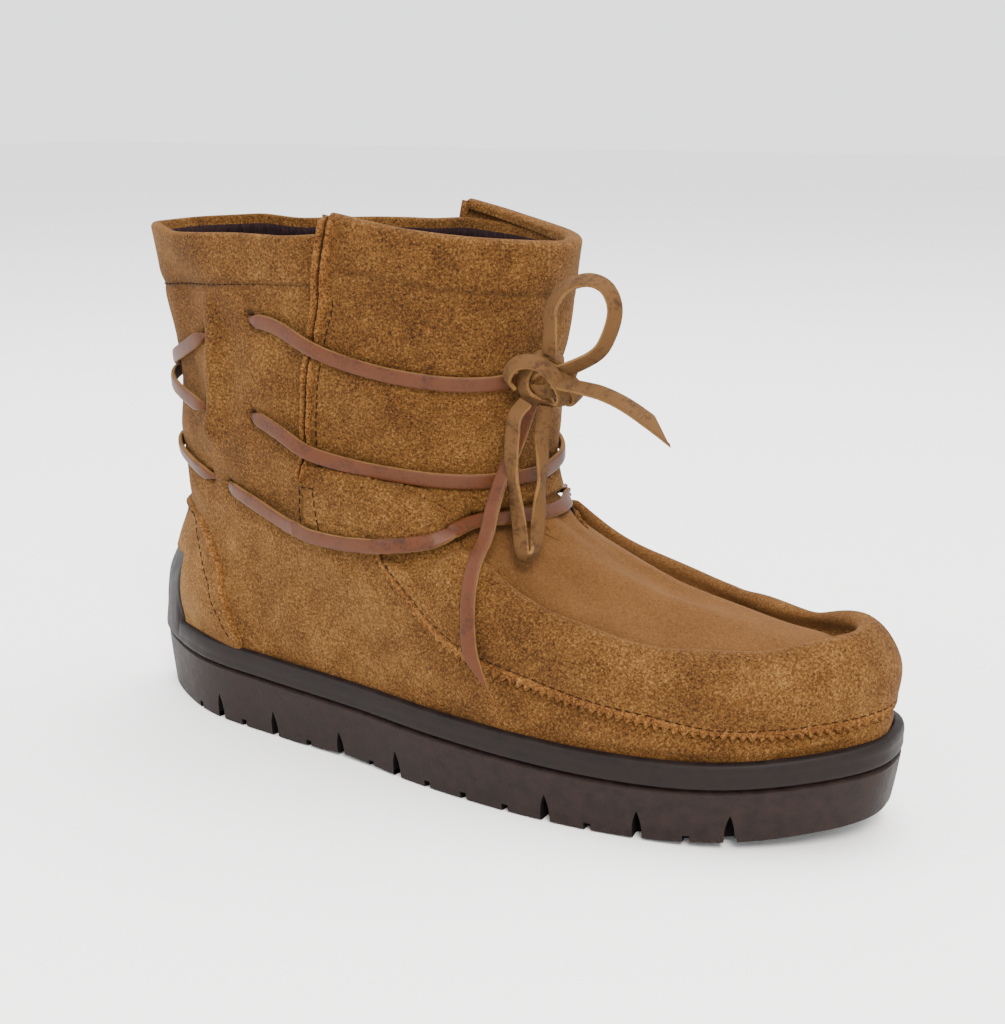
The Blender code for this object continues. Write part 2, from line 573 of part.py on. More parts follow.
def build_sole(parts, cutters):
    """Cup sole: tread, side wall, groove, lip with heel tab, and the cup inside."""
    half = np.concatenate([np.linspace(0, 0.07, 5), tab_turns(0.0), np.linspace(0.12, 0.5, 20)])
    turn = np.concatenate([half, 1 - half[-2:0:-1]])
    share = share_of(turn)
    groove = groove_height(share)
    hollow = ARCH_HOLLOW * np.clip(1 - np.abs(share - ARCH_MIDDLE) / ARCH_HALF_SPAN, 0, 1)
    floor = spring(share) + hollow

    def wall_ring(inset, height):
        x, y = sole_outline(turn, inset)
        return np.stack([x, y, height], -1)

    lip_outside = LIP_WALL + CLEARANCE
    top = lip_level(turn)
    under_lip = skin(turn, LEVEL["lip"], lip_outside)
    under_lip[:, 2] = groove + GROOVE_HALF
    rings = [wall_ring(SOLE_TAPER + SOLE_EDGE, floor),
             wall_ring(SOLE_TAPER, floor + SOLE_EDGE),
             wall_ring(SOLE_TAPER / 2, (floor + groove) / 2),
             wall_ring(0, groove - GROOVE_HALF),
             wall_ring(GROOVE_DEPTH, groove),
             under_lip]
    for part in (0.25, 0.5, 0.75, 0.94):
        level = LEVEL["lip"] - 0.5 + (top - LEVEL["lip"] + 0.5) * part
        rings.append(skin(turn, level, lip_outside))
    rings.append(skin(turn, top, lip_outside - LIP_WALL * 0.3))
    rings.append(skin(turn, top, CLEARANCE + LIP_WALL * 0.2))
    for level in (2.5, 2.0, 1.5, 1.0):
        part = (level - LEVEL["lip"] + 0.5) / (HEEL_TAB_LEVELS + 0.5)
        rings.append(skin(turn, LEVEL["lip"] - 0.5 + (top - LEVEL["lip"] + 0.5) * part, CLEARANCE))
    cup_floor = skin(turn, LEVEL["hem"], CLEARANCE)
    cup_floor[:, 2] = groove - FLOOR_DROP - CLEARANCE
    rings.append(cup_floor)
    sole = add_object("sole", stack("sole", rings), parts, RUBBER_BROWN, 0.55)
    notches = notch_cutter("notch_cutter", NOTCHES, NOTCH_WIDTH, NOTCH_HEIGHT, NOTCH_DEPTH, True)
    nicks = notch_cutter("nick_cutter", NICKS, NICK_WIDTH, NICK_HEIGHT, NICK_DEPTH, False)
    cut(sole, "notch_cutter", notches, cutters)
    cut(sole, "nick_cutter", nicks, cutters)
    cut(sole, "channel_cutter", channel_cutter("channel_cutter", NOTCHES), cutters)


def build_insole(parts):
    """Footbed lying on the cup's floor inside the upper."""
    turn = np.arange(UPPER_COLUMNS) / UPPER_COLUMNS
    seat = groove_height(share_of(turn)) - FLOOR_DROP
    inside = -UPPER_WALL - CLEARANCE
    rings = []
    for height in (0.0, INSOLE_THICKNESS):
        ring = skin(turn, LEVEL["hem"], inside)
        ring[:, 2] = seat + height
        rings.append(ring)
    add_object("insole", stack("insole", rings), parts, FOOTBED_BROWN, 0.9)


def build_upper(parts):
    """Hollow wall from the hem in the cup to the folded collar."""
    turn = np.arange(UPPER_COLUMNS) / UPPER_COLUMNS
    outer = [skin(turn, level, collar_fold(level)) for level in OUTER_ROWS]
    inner = [skin(turn, level, -UPPER_WALL) for level in reversed(INNER_ROWS)]
    for ring in (outer[0], inner[-1]):
        ring[:, 2] = groove_height(share_of(turn)) - FLOOR_DROP
    add_object("upper", tube_wall("upper", outer + inner), parts, SUEDE_TAN, 0.95)


def band_grid():
    """Turns and levels of the rim band, on the upper's own columns away from its two ends."""
    levels = np.array(BAND_ROWS, float)
    edge = np.array(BAND_END)
    start = np.interp(levels, edge[:, 1], edge[:, 0])[:, None]
    first = math.ceil(start.max() * UPPER_COLUMNS + 1)
    middle = np.arange(first, UPPER_COLUMNS - first + 1) / UPPER_COLUMNS
    blend = np.linspace(0, 1, 6)[None, :5]
    leading = start * (1 - blend) + first / UPPER_COLUMNS * blend
    turns = np.hstack([leading, np.tile(middle, (len(levels), 1)), 1 - leading[:, ::-1]])
    return turns, np.broadcast_to(levels[:, None], turns.shape)


def build_rim_band(parts):
    """Band from the moccasin seam up over the rim and down to the apron."""
    add_object("rim_band", cut_piece("rim_band", *band_grid(), BAND_GAP, BAND_GAP + PANEL_THICKNESS),
               parts, SUEDE_TAN, 0.95)


def build_moc_seam(parts):
    """Raw edge standing up just under the rim band."""
    turn = band_grid()[0][0]
    gap = np.linalg.norm(face(turn, LEVEL["seam"]) - face(turn, LEVEL["seam"] - 0.5), axis=-1) * 2
    above = LEVEL["seam"] - CLEARANCE * 2 / gap
    below = above - SEAM_RIDGE_WIDTH / gap
    turns = np.stack([turn, turn])
    levels = np.stack([below, above])
    add_object("moc_seam", cut_piece("moc_seam", turns, levels, PANEL_GAP, PANEL_GAP + SEAM_RIDGE_HEIGHT),
               parts, SUEDE_TAN, 0.95)


def build_heel_counter(parts):
    """Counter wrapped round the heel, from the sole's lip up under the shaft's bulge."""
    rows = 7
    edge_turns = np.linspace(HEEL_TAB_TURN + HEEL_TAB_RAMP, COUNTER_TOP[-1][0], 5)
    half = np.concatenate([np.linspace(0, 0.07, 5), tab_turns(COUNTER_SPREAD), edge_turns])
    turn = np.concatenate([-half[:0:-1], half])
    edge = np.array(COUNTER_TOP)
    top = np.interp(turn, edge[:, 0], edge[:, 1])
    bottom = lip_level(turn, COUNTER_SPREAD) + COUNTER_LIP_GAP
    part = np.linspace(0, 1, rows)[:, None]
    turns = np.broadcast_to(turn, (rows, len(turn)))
    levels = bottom * (1 - part) + top * part
    mesh = cut_piece("heel_counter", turns, levels, PANEL_GAP, PANEL_GAP + PANEL_THICKNESS)
    add_object("heel_counter", mesh, parts, SUEDE_TAN, 0.95)


def build_shaft_front(parts):
    """Front panel from side seam to side seam, its foot lying over throat and wrap."""
    rows = 15
    columns = 33
    foot = along(PANEL_FOOT, columns // 2 + 1)
    rim = along(PANEL_TOP, columns // 2 + 1)
    seam = np.array(SIDE_SEAM_LINE)
    heights = np.linspace(foot[0, 1], rim[0, 1], rows)
    left = np.stack([np.interp(heights, seam[:, 1], seam[:, 0]) + SIDE_SEAM_MARGIN, heights], -1)
    foot[:, 0] += (left[0, 0] - foot[0, 0]) * (180 - foot[:, 0]) / (180 - foot[0, 0])
    rim[:, 0] += (left[-1, 0] - rim[0, 0]) * (180 - rim[:, 0]) / (180 - rim[0, 0])
    bottom = np.concatenate([foot, np.array(mirrored(foot[:-1], 360))[::-1]])
    top = np.concatenate([rim, np.array(mirrored(rim[:-1], 360))[::-1]])
    bearings, heights = filled(left, np.array(mirrored(left, 360)), bottom, top)
    turns, levels = around(bearings, heights)
    inner = SHAFT_GAP + foot_flare(heights) + collar_fold(levels)
    add_object("shaft_front", cut_piece("shaft_front", turns, levels, inner, inner + PANEL_THICKNESS),
               parts, SUEDE_TAN, 0.95)


def build_side_seams(parts):
    """Raised seam up each side of the shaft, ending just above the collar."""
    count = 16
    lines = {"side_seam_lateral": SIDE_SEAM_LINE, "side_seam_medial": mirrored(SIDE_SEAM_LINE, 360)}
    for name, line in lines.items():
        bearing, height = along(line, count).T
        turn, level = around(bearing, height)
        lift = PANEL_GAP + SIDE_SEAM_HEIGHT / 2 + foot_flare(height) + collar_fold(level)
        widths = np.linspace(SIDE_SEAM_WIDTH_FOOT, SIDE_SEAM_WIDTH_TOP, count)
        mesh = ribbon(name, skin(turn, level, lift), outward(turn, level), widths, SIDE_SEAM_HEIGHT)
        add_object(name, mesh, parts, SUEDE_TAN, 0.95)


def build_held_laces(parts):
    """Flat lace where it lies against the shaft, and its crossing at the back."""
    low_route = LACE_LOW + tuple(reversed(mirrored(LACE_LOW[:-1], 360)))
    back_low = LACE_BACK_LOW + tuple(reversed(mirrored(LACE_BACK_LOW[:-1], 0)))
    top_outer = LACE_TOP + (LACE_TOP_REACH,)
    routes = {"lace_top_lateral": top_outer, "lace_top_medial": mirrored(LACE_TOP, 360),
              "lace_middle": LACE_MIDDLE, "lace_low": low_route, "lace_back_low": back_low}
    for name, route in routes.items():
        count = LACE_STEPS * 2 if name in ("lace_middle", "lace_low") else LACE_STEPS
        add_object(name, lace_mesh(name, route, count), parts, LACE_BROWN, 0.5)
    falling = np.array(LACE_BACK_FALLING)
    rising = falling * (-1, 1, 1) + (0, 0, LACE_THICKNESS * 0.3)
    cross = add_object("lace_back_cross", lace_mesh("lace_back_cross", falling), parts, LACE_BROWN, 0.5)
    other = bpy.data.objects.new("rising_lace", lace_mesh("rising_lace", rising))
    return cross, other


def join(target, other, cutters):
    """Unite a second mesh with an object."""
    other.hide_render = True
    other.display_type = "WIRE"
    cutters.objects.link(other)
    union = target.modifiers.new("join", "BOOLEAN")
    union.operation = "UNION"
    union.solver = "EXACT"
    union.object = other


def knot_exit(point):
    """Where a cord's end that aims at a point meets the knot, a clearance off its surface."""
    away = np.array(point) - KNOT_CENTRE
    away /= np.linalg.norm(away)
    x = away[0] * math.cos(KNOT_TURN) + away[1] * math.sin(KNOT_TURN)
    y = away[1] * math.cos(KNOT_TURN) - away[0] * math.sin(KNOT_TURN)
    reach = 1 / np.linalg.norm(np.array((x, y, away[2])) / KNOT_SIZE)
    return tuple(np.array(KNOT_CENTRE) + away * (reach + KNOT_CLEARANCE))


def build_cord(parts, name, points, is_loop=False):
    """Round core of a free stretch of the lace, from the knot, and back to it for a loop."""
    points = (knot_exit(points[0]),) + tuple(points[1:])
    if is_loop:
        points = points[:-1] + (knot_exit(points[-1]),)
    count = max(8, int(route_length(points) / (LACE_CORE_RADIUS * 5)))
    smooth = along_route(points, count)
    shape = bpy.data.curves.new(name, "CURVE")
    shape.dimensions = "3D"
    shape.bevel_depth = LACE_CORE_RADIUS
    shape.bevel_resolution = 2
    shape.use_fill_caps = True
    spline = shape.splines.new("POLY")
    spline.points.add(count - 1)
    for index, spot in enumerate(smooth):
        spline.points[index].co = (*spot, 1.0)
    shape.materials.append(material(name + "_finish", LACE_BROWN, 0.5))
    parts.objects.link(bpy.data.objects.new(name, shape))


def route_length(points):
    """Length of the straight runs between a route's points."""
    return float(np.linalg.norm(np.diff(np.array(points), axis=0), axis=1).sum())


def along_route(points, count):
    """Evenly spaced points on the smooth curve through a route."""
    points = np.array(points, float)
    dense = curve(np.arange(len(points)), points, np.linspace(0, len(points) - 1, ROUTE_SAMPLES))
    reached = np.concatenate([[0], np.cumsum(np.linalg.norm(np.diff(dense, axis=0), axis=1))])
    wanted = np.linspace(0, reached[-1], count)
    return np.stack([np.interp(wanted, reached, dense[:, axis]) for axis in range(3)], -1)


def build_knot(parts):
    """Rounded lump of the bow's knot."""
    shaped = bmesh.new()
    bmesh.ops.create_uvsphere(shaped, u_segments=14, v_segments=8, radius=1.0)
    for vertex in shaped.verts:
        x, y, z = (share * size for share, size in zip(vertex.co, KNOT_SIZE))
        vertex.co.x = KNOT_CENTRE[0] + x * math.cos(KNOT_TURN) - y * math.sin(KNOT_TURN)
        vertex.co.y = KNOT_CENTRE[1] + x * math.sin(KNOT_TURN) + y * math.cos(KNOT_TURN)
        vertex.co.z = KNOT_CENTRE[2] + z
    mesh = bpy.data.meshes.new("lace_knot")
    shaped.to_mesh(mesh)
    shaped.free()
    mesh.shade_smooth()
    add_object("lace_knot", mesh, parts, LACE_BROWN, 0.5)


def main():
    """Clear the scene and build the boot."""
    for old in list(bpy.data.objects):
        bpy.data.objects.remove(old, do_unlink=True)
    parts = bpy.data.collections.new("moccasin_boot")
    cutters = bpy.data.collections.new("cutters")
    bpy.context.scene.collection.children.link(parts)
    bpy.context.scene.collection.children.link(cutters)
    build_sole(parts, cutters)
    build_insole(parts)
    build_upper(parts)
    build_rim_band(parts)
    build_moc_seam(parts)
    build_heel_counter(parts)
    build_shaft_front(parts)
    build_side_seams(parts)
    cross, rising = build_held_laces(parts)
    join(cross, rising, cutters)
    build_knot(parts)
    build_cord(parts, "lace_loop_upper", LOOP_UPPER_POINTS, is_loop=True)
    build_cord(parts, "lace_loop_hanging", LOOP_HANGING_POINTS, is_loop=True)
    build_cord(parts, "lace_end_side", END_SIDE_POINTS)
    build_cord(parts, "lace_end_front", END_FRONT_POINTS)


main()
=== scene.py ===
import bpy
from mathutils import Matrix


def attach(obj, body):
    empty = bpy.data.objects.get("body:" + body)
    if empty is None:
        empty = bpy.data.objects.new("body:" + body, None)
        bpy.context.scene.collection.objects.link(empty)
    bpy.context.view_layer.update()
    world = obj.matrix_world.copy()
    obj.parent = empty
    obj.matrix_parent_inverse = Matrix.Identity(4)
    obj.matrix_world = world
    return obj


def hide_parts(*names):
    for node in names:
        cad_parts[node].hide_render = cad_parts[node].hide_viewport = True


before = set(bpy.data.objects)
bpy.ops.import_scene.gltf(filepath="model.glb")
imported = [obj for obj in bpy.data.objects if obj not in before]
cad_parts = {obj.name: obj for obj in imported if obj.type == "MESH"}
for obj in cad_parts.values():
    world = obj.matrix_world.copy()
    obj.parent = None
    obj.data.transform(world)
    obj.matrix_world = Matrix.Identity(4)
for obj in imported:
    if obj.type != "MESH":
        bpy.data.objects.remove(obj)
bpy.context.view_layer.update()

import math

import bpy
import numpy as np
from mathutils import Vector

# Sizes of the shape that every suede piece is cut from, metres, as in the solids
boot = {
    "outsoleLength": 0.275,
    "ballHalfWidth": 0.052,
    "height": 0.170,
    "upperWall": 0.0022,
    "panelThickness": 0.0014,
    "collarFold": 0.0006,
    "lipWall": 0.0030,
    "lipHeight": 0.0082,
    "grooveHeightHeel": 0.0220,
    "grooveHeightToe": 0.0165,
    "grooveDepth": 0.0013,
    "grooveHalf": 0.0011,
    "floorDrop": 0.0045,
    "soleTaper": 0.0022,
    "soleEdge": 0.0014,
    "toeSpring": 0.0078,
    "springStart": 0.70,
    "archHollow": 0.0012,
    "archMiddle": 0.38,
    "archHalfSpan": 0.088,
    "heelTabTurn": 0.098,
    "heelTabRamp": 0.014,
    "heelTabLevels": 1.62,
    "clearance": 0.0003,
    "shaftMiddle": -0.18,
    "wideBulge": 0.0010,
    "wideShare": 0.35,
    "heelRound": 0.95,
    "toeRound": 0.76,
}
stations = (0.0, 0.12, 0.25, 0.40, 0.52, 0.62, 0.74, 0.88, 1.0)
outlineOuter = (0.66, 0.82, 0.785, 0.80, 0.885, 0.945, 0.985, 0.99, 0.81)
outlineInner = (0.70, 0.80, 0.75, 0.70, 0.77, 0.86, 0.90, 0.885, 0.81)
# Loops above the sole: name, back, front, share of the foot's curve kept, heel and toe roundness
loops = (
    ("seam", -0.441, 0.480, 1.0, 0.95, 0.76),
    ("band", -0.440, 0.480, 1.0, 0.95, 0.76),
    ("crown", -0.438, 0.455, 0.8, 0.90, 0.80),
    ("valley", -0.437, 0.436, 0.7, 0.90, 0.80),
    ("fore", -0.436, 0.333, 0.4, 0.90, 0.80),
    ("aft", -0.435, 0.186, 0.2, 0.90, 0.80),
    ("throat", -0.434, 0.077, 0.0, 0.88, 0.82),
    ("ankle", -0.432, 0.070, 0.0, 0.85, 0.85),
    ("stitch", -0.447, 0.085, 0.0, 0.85, 0.85),
    ("collar", -0.464, 0.091, 0.0, 0.85, 0.85),
    ("top", -0.470, 0.093, 0.0, 0.85, 0.85),
)
widths = {
    "seam": (0.84, 0.82, 0.80, 0.82, 0.86, 0.88, 0.89, 0.87, 0.74),
    "band": (0.84, 0.82, 0.80, 0.81, 0.82, 0.84, 0.87, 0.87, 0.75),
    "crown": (0.84, 0.82, 0.80, 0.79, 0.73, 0.75, 0.77, 0.70, 0.56),
    "valley": (0.84, 0.82, 0.80, 0.77, 0.68, 0.63, 0.65, 0.60, 0.46),
    "fore": (0.82, 0.81, 0.80, 0.78, 0.72, 0.56, 0.41, 0.30, 0.24),
    "aft": (0.80, 0.80, 0.79, 0.78, 0.74, 0.68, 0.50, 0.28, 0.22),
    "throat": (0.77, 0.78, 0.79, 0.78, 0.77, 0.74, 0.70, 0.64, 0.60),
    "ankle": (0.74, 0.75, 0.76, 0.76, 0.76, 0.75, 0.74, 0.72, 0.70),
    "stitch": (0.78, 0.79, 0.80, 0.80, 0.80, 0.79, 0.78, 0.76, 0.74),
    "collar": (0.80, 0.81, 0.82, 0.82, 0.82, 0.81, 0.80, 0.78, 0.76),
    "top": (0.81, 0.82, 0.83, 0.83, 0.83, 0.82, 0.81, 0.79, 0.77),
}
heights = {
    "seam": (0.39, 0.40, 0.42, 0.445, 0.305, 0.262, 0.232, 0.215, 0.235),
    "band": (0.42, 0.43, 0.45, 0.475, 0.385, 0.320, 0.285, 0.270, 0.295),
    "crown": (0.45, 0.46, 0.475, 0.510, 0.465, 0.380, 0.332, 0.318, 0.350),
    "valley": (0.48, 0.49, 0.505, 0.535, 0.475, 0.370, 0.325, 0.295, 0.330),
    "fore": (0.515, 0.525, 0.535, 0.560, 0.530, 0.465, 0.400, 0.370, 0.345),
    "aft": (0.55, 0.56, 0.57, 0.585, 0.572, 0.545, 0.500, 0.452, 0.400),
    "throat": (0.59, 0.595, 0.60, 0.605, 0.60, 0.59, 0.57, 0.54, 0.515),
    "ankle": (0.70, 0.70, 0.705, 0.71, 0.71, 0.71, 0.705, 0.70, 0.70),
    "stitch": (0.885, 0.89, 0.895, 0.90, 0.90, 0.90, 0.895, 0.885, 0.88),
    "collar": (0.99, 0.995, 1.00, 1.005, 1.005, 1.00, 0.993, 0.985, 0.98),
    "top": (1.04, 1.045, 1.05, 1.055, 1.055, 1.05, 1.043, 1.035, 1.03),
}
levelOf = {name: float(number) for number, name in
           enumerate(("hem", "lip", "wide") + tuple(loop[0] for loop in loops))}

# The camera that the photograph was matched with, metres and millimetres
cameraView = {"place": (0.2437, -0.4197, 0.2093), "target": (0.0043, 0.0, 0.0806), "lens": 54.14}
towardsCamera = np.array((0.4788, -0.8394, 0.2574))
rightOfCamera = np.array((0.8686, 0.4955, 0.0))


def smoothCurve(knots, values, at):
    # cubic through the rows of values at the knots, with the slopes of its neighbours
    knots = np.asarray(knots, float)
    values = np.asarray(values, float)
    at = np.asarray(at, float)
    slope = np.gradient(values, knots, axis=0)
    low = np.clip(np.searchsorted(knots, at, side="right") - 1, 0, len(knots) - 2)
    span = knots[low + 1] - knots[low]
    part = (at - knots[low]) / span
    shape = part.shape + (1,) * (values.ndim - 1)
    part = part.reshape(shape)
    span = span.reshape(shape)
    start = values[low] * (1 + 2 * part) * (1 - part) ** 2 + slope[low] * span * part * (1 - part) ** 2
    end = values[low + 1] * part ** 2 * (3 - 2 * part) - slope[low + 1] * span * part ** 2 * (1 - part)
    return start + end


def smoothAcross(knots, values, at):
    # the same curve where each point has its own row of values, on the last axis
    knots = np.asarray(knots, float)
    slope = np.gradient(values, knots, axis=-1)
    low = np.clip(np.searchsorted(knots, at, side="right") - 1, 0, len(knots) - 2)
    span = knots[low + 1] - knots[low]
    part = (at - knots[low]) / span

    def pick(table, column):
        return np.take_along_axis(table, column[..., None], -1)[..., 0]

    start = pick(values, low) * (1 + 2 * part) * (1 - part) ** 2
    start += pick(slope, low) * span * part * (1 - part) ** 2
    end = pick(values, low + 1) * part ** 2 * (3 - 2 * part)
    end -= pick(slope, low + 1) * span * part ** 2 * (1 - part)
    return start + end


def smoothStep(value):
    value = np.clip(value, 0, 1)
    return value * value * (3 - 2 * value)


def springAt(share):
    return boot["toeSpring"] * np.clip((share - boot["springStart"]) / (1 - boot["springStart"]), 0, 1) ** 2


def grooveAt(share):
    rise = boot["grooveHeightToe"] - boot["grooveHeightHeel"]
    return boot["grooveHeightHeel"] + rise * share + springAt(share)


def fromBack(turn):
    # turn counted from the middle of the heel, the same on both sides
    return np.minimum(turn % 1.0, 1 - turn % 1.0)


def shareOf(turn):
    # share of a loop's length reached at a turn: (1 - cos(2 pi turn)) / 2
    return (1 - np.cos(2 * np.pi * np.asarray(turn, float))) / 2


def sideOf(turn):
    return np.where(np.asarray(turn, float) % 1.0 < 0.5, -1.0, 1.0)


def soleOutline(turn, inset):
    # half width at the share, times |sin| raised to the end's roundness, on either side
    share = shareOf(turn)
    half = np.where(sideOf(turn) < 0, smoothCurve(stations, outlineOuter, share),
                    smoothCurve(stations, outlineInner, share)) * boot["ballHalfWidth"] - inset
    roundness = boot["heelRound"] + (boot["toeRound"] - boot["heelRound"]) * share
    y = sideOf(turn) * half * np.abs(np.sin(2 * np.pi * turn)) ** roundness
    return (share - 0.5) * (boot["outsoleLength"] - 2 * inset), y


def loopTable():
    # a row for each level: back, front, foot, heel, toe, half widths, heights
    groove = grooveAt(np.array(stations))
    inset = boot["lipWall"] + boot["clearance"]
    halfLength = boot["outsoleLength"] / 2 - inset
    halfWidths = np.array(outlineOuter) * boot["ballHalfWidth"] - inset
    ends = (1.0, boot["heelRound"], boot["toeRound"])
    lipTop = groove + boot["lipHeight"]
    wide = lipTop + (np.array(heights["seam"]) * boot["height"] - lipTop) * boot["wideShare"]
    rows = [np.hstack([-halfLength, halfLength, ends, halfWidths, groove - boot["floorDrop"]]),
            np.hstack([-halfLength, halfLength, ends, halfWidths, lipTop]),
            np.hstack([-halfLength, halfLength, ends, halfWidths + boot["wideBulge"], wide])]
    for name, back, front, foot, heel, toe in loops:
        ends = (back * boot["outsoleLength"], front * boot["outsoleLength"], foot, heel, toe)
        rows.append(np.hstack([ends, np.array(widths[name]) * boot["ballHalfWidth"],
                               np.array(heights[name]) * boot["height"]]))
    return np.array(rows)


loopRows = loopTable()


def face(turn, level):
    # point on the upper's outer face
    turn, level = np.broadcast_arrays(np.asarray(turn, float) % 1.0, np.asarray(level, float))
    row = smoothCurve(np.arange(len(loopRows)), loopRows, level)
    back, front, foot, heel, toe = (row[..., column] for column in range(5))
    count = len(stations)
    share = shareOf(turn)
    half = smoothAcross(stations, row[..., 5:5 + count], share)
    height = smoothAcross(stations, row[..., 5 + count:], share)
    ratio = smoothCurve(stations, np.array(outlineInner) / np.array(outlineOuter), share)
    half = np.where(sideOf(turn) < 0, half, half * (1 + foot * (ratio - 1)))
    roundness = heel + (toe - heel) * share
    y = sideOf(turn) * half * np.abs(np.sin(2 * np.pi * turn)) ** roundness
    return np.stack([back + (front - back) * share, y, height], -1)


def outward(turn, level):
    # unit normal: the step round the boot crossed with the step up it
    step = 0.002
    above = np.minimum(level + step * 10, levelOf["top"])
    below = np.maximum(level - step * 10, 0)
    onward = face(turn + step, level) - face(turn - step, level)
    normal = np.cross(onward, face(turn, above) - face(turn, below))
    return normal / np.linalg.norm(normal, axis=-1)[..., None]


def aroundShaft(bearing, height):
    # turn and level of the places at bearings round the shaft and heights on it
    bearing, height = np.broadcast_arrays(np.asarray(bearing, float), np.asarray(height, float))
    turns = np.linspace(0, 0.5, 161)
    levels = np.linspace(levelOf["seam"], levelOf["top"], 141)
    spots = face(turns[None], levels[:, None])
    middle = boot["shaftMiddle"] * boot["outsoleLength"]
    seen = np.degrees(np.arctan2(np.abs(spots[..., 1]), middle - spots[..., 0]))
    wanted = np.minimum(bearing % 360, 360 - bearing % 360)
    turn = np.stack([np.interp(wanted, row, turns) for row in seen])
    rise = np.stack([np.interp(found, turns, row) for found, row in zip(turn, spots[..., 2])])
    rise = np.maximum.accumulate(rise, axis=0)
    below = np.clip((rise < height * boot["height"]).sum(axis=0) - 1, 0, len(levels) - 2)[None]
    low = np.take_along_axis(rise, below, 0)[0]
    high = np.take_along_axis(rise, below + 1, 0)[0]
    part = np.clip((height * boot["height"] - low) / np.maximum(high - low, 1e-9), 0, 1)
    level = levels[below[0]] + part * (levels[1] - levels[0])
    turnBelow = np.take_along_axis(turn, below, 0)[0]
    turn = turnBelow + part * (np.take_along_axis(turn, below + 1, 0)[0] - turnBelow)
    return np.where(bearing % 360 > 180, 1 - turn, turn), level


def collarFold(level):
    return boot["collarFold"] * np.clip((level - levelOf["stitch"]) * 6, 0, 1)


def lipLevel(turn, spread=0.0):
    # level of the sole's lip, raised into a tab at the back of the heel
    ramp = np.clip((boot["heelTabTurn"] + spread - fromBack(turn)) / boot["heelTabRamp"] + 0.5, 0, 1)
    return levelOf["lip"] + boot["heelTabLevels"] * ramp ** 2 * (3 - 2 * ramp)


def mirrored(points, whole):
    return tuple((whole - point[0],) + tuple(point[1:]) for point in points)


def evenly(points, count, scaled=False):
    # points evenly spaced on the smooth curve through a short table; scaled weighs its axes alike
    points = np.array(points, float)
    dense = smoothCurve(np.arange(len(points)), points, np.linspace(0, len(points) - 1, 800))
    size = np.maximum(np.ptp(dense, axis=0), 1e-6) if scaled else 1.0
    reached = np.concatenate([[0], np.cumsum(np.linalg.norm(np.diff(dense / size, axis=0), axis=1))])
    wanted = np.linspace(0, reached[-1], count)
    return np.stack([np.interp(wanted, reached, dense[:, axis]) for axis in range(points.shape[1])], -1)


# Folds of the suede. Each shaft fold runs between two or more (bearing, height) places, each vamp
# fold between (turn, level) places; then its reach to either side and its rise, metres
shaftFolds = (
    (((48, 0.86), (46, 0.74), (44, 0.62)), 0.0036, 0.0024),
    (((57, 0.82), (55, 0.66)), 0.0050, -0.0011),
    (((34, 0.86), (33, 0.74), (34, 0.60)), 0.0075, -0.0012),
    (((-36, 0.80), (-35, 0.60)), 0.0080, -0.0010),
    (((-52, 0.80), (-50, 0.58)), 0.0050, 0.0009),
    (((14, 0.84), (10, 0.60)), 0.0090, 0.0005),
    (((72, 0.842), (91, 0.829), (120, 0.781), (150, 0.750), (172, 0.752)), 0.0050, -0.0010),
    (((69, 0.657), (88, 0.635), (119, 0.592), (150, 0.571), (180, 0.574)), 0.0052, -0.0012),
    (((180, 0.574), (212, 0.622), (258, 0.638), (290, 0.655)), 0.0052, -0.0011),
    (((48, 0.505), (64, 0.486), (98, 0.455), (129, 0.453)), 0.0045, -0.0009),
    (((-48, 0.505), (-64, 0.486), (-98, 0.455), (-129, 0.453)), 0.0045, -0.0009),
    (((188, 0.750), (222, 0.762), (255, 0.804), (288, 0.842)), 0.0050, -0.0009),
    (((76, 0.745), (98, 0.735), (130, 0.675), (158, 0.660)), 0.0090, 0.0009),
    (((206, 0.690), (240, 0.715), (284, 0.745)), 0.0090, 0.0008),
    (((62, 0.585), (92, 0.545), (122, 0.520), (150, 0.525)), 0.0070, 0.0008),
    (((238, 0.540), (268, 0.545), (298, 0.585)), 0.0070, 0.0008),
    (((22, 0.480), (44, 0.455), (62, 0.430)), 0.0060, 0.0010),
    (((-22, 0.480), (-44, 0.455), (-62, 0.430)), 0.0060, 0.0010),
    (((-24, 0.560), (0, 0.565), (24, 0.560)), 0.0050, -0.0009),
    (((-30, 0.720), (0, 0.700), (30, 0.720)), 0.0065, -0.0008),
    (((118, 0.905), (150, 0.880)), 0.0080, -0.0005),
    (((62, 0.93), (84, 0.925)), 0.0090, 0.0004),
    (((84, 0.780), (97, 0.700)), 0.0060, -0.0006),
    (((112, 0.700), (126, 0.640)), 0.0045, -0.0005),
    (((140, 0.845), (158, 0.790)), 0.0050, -0.0005),
)
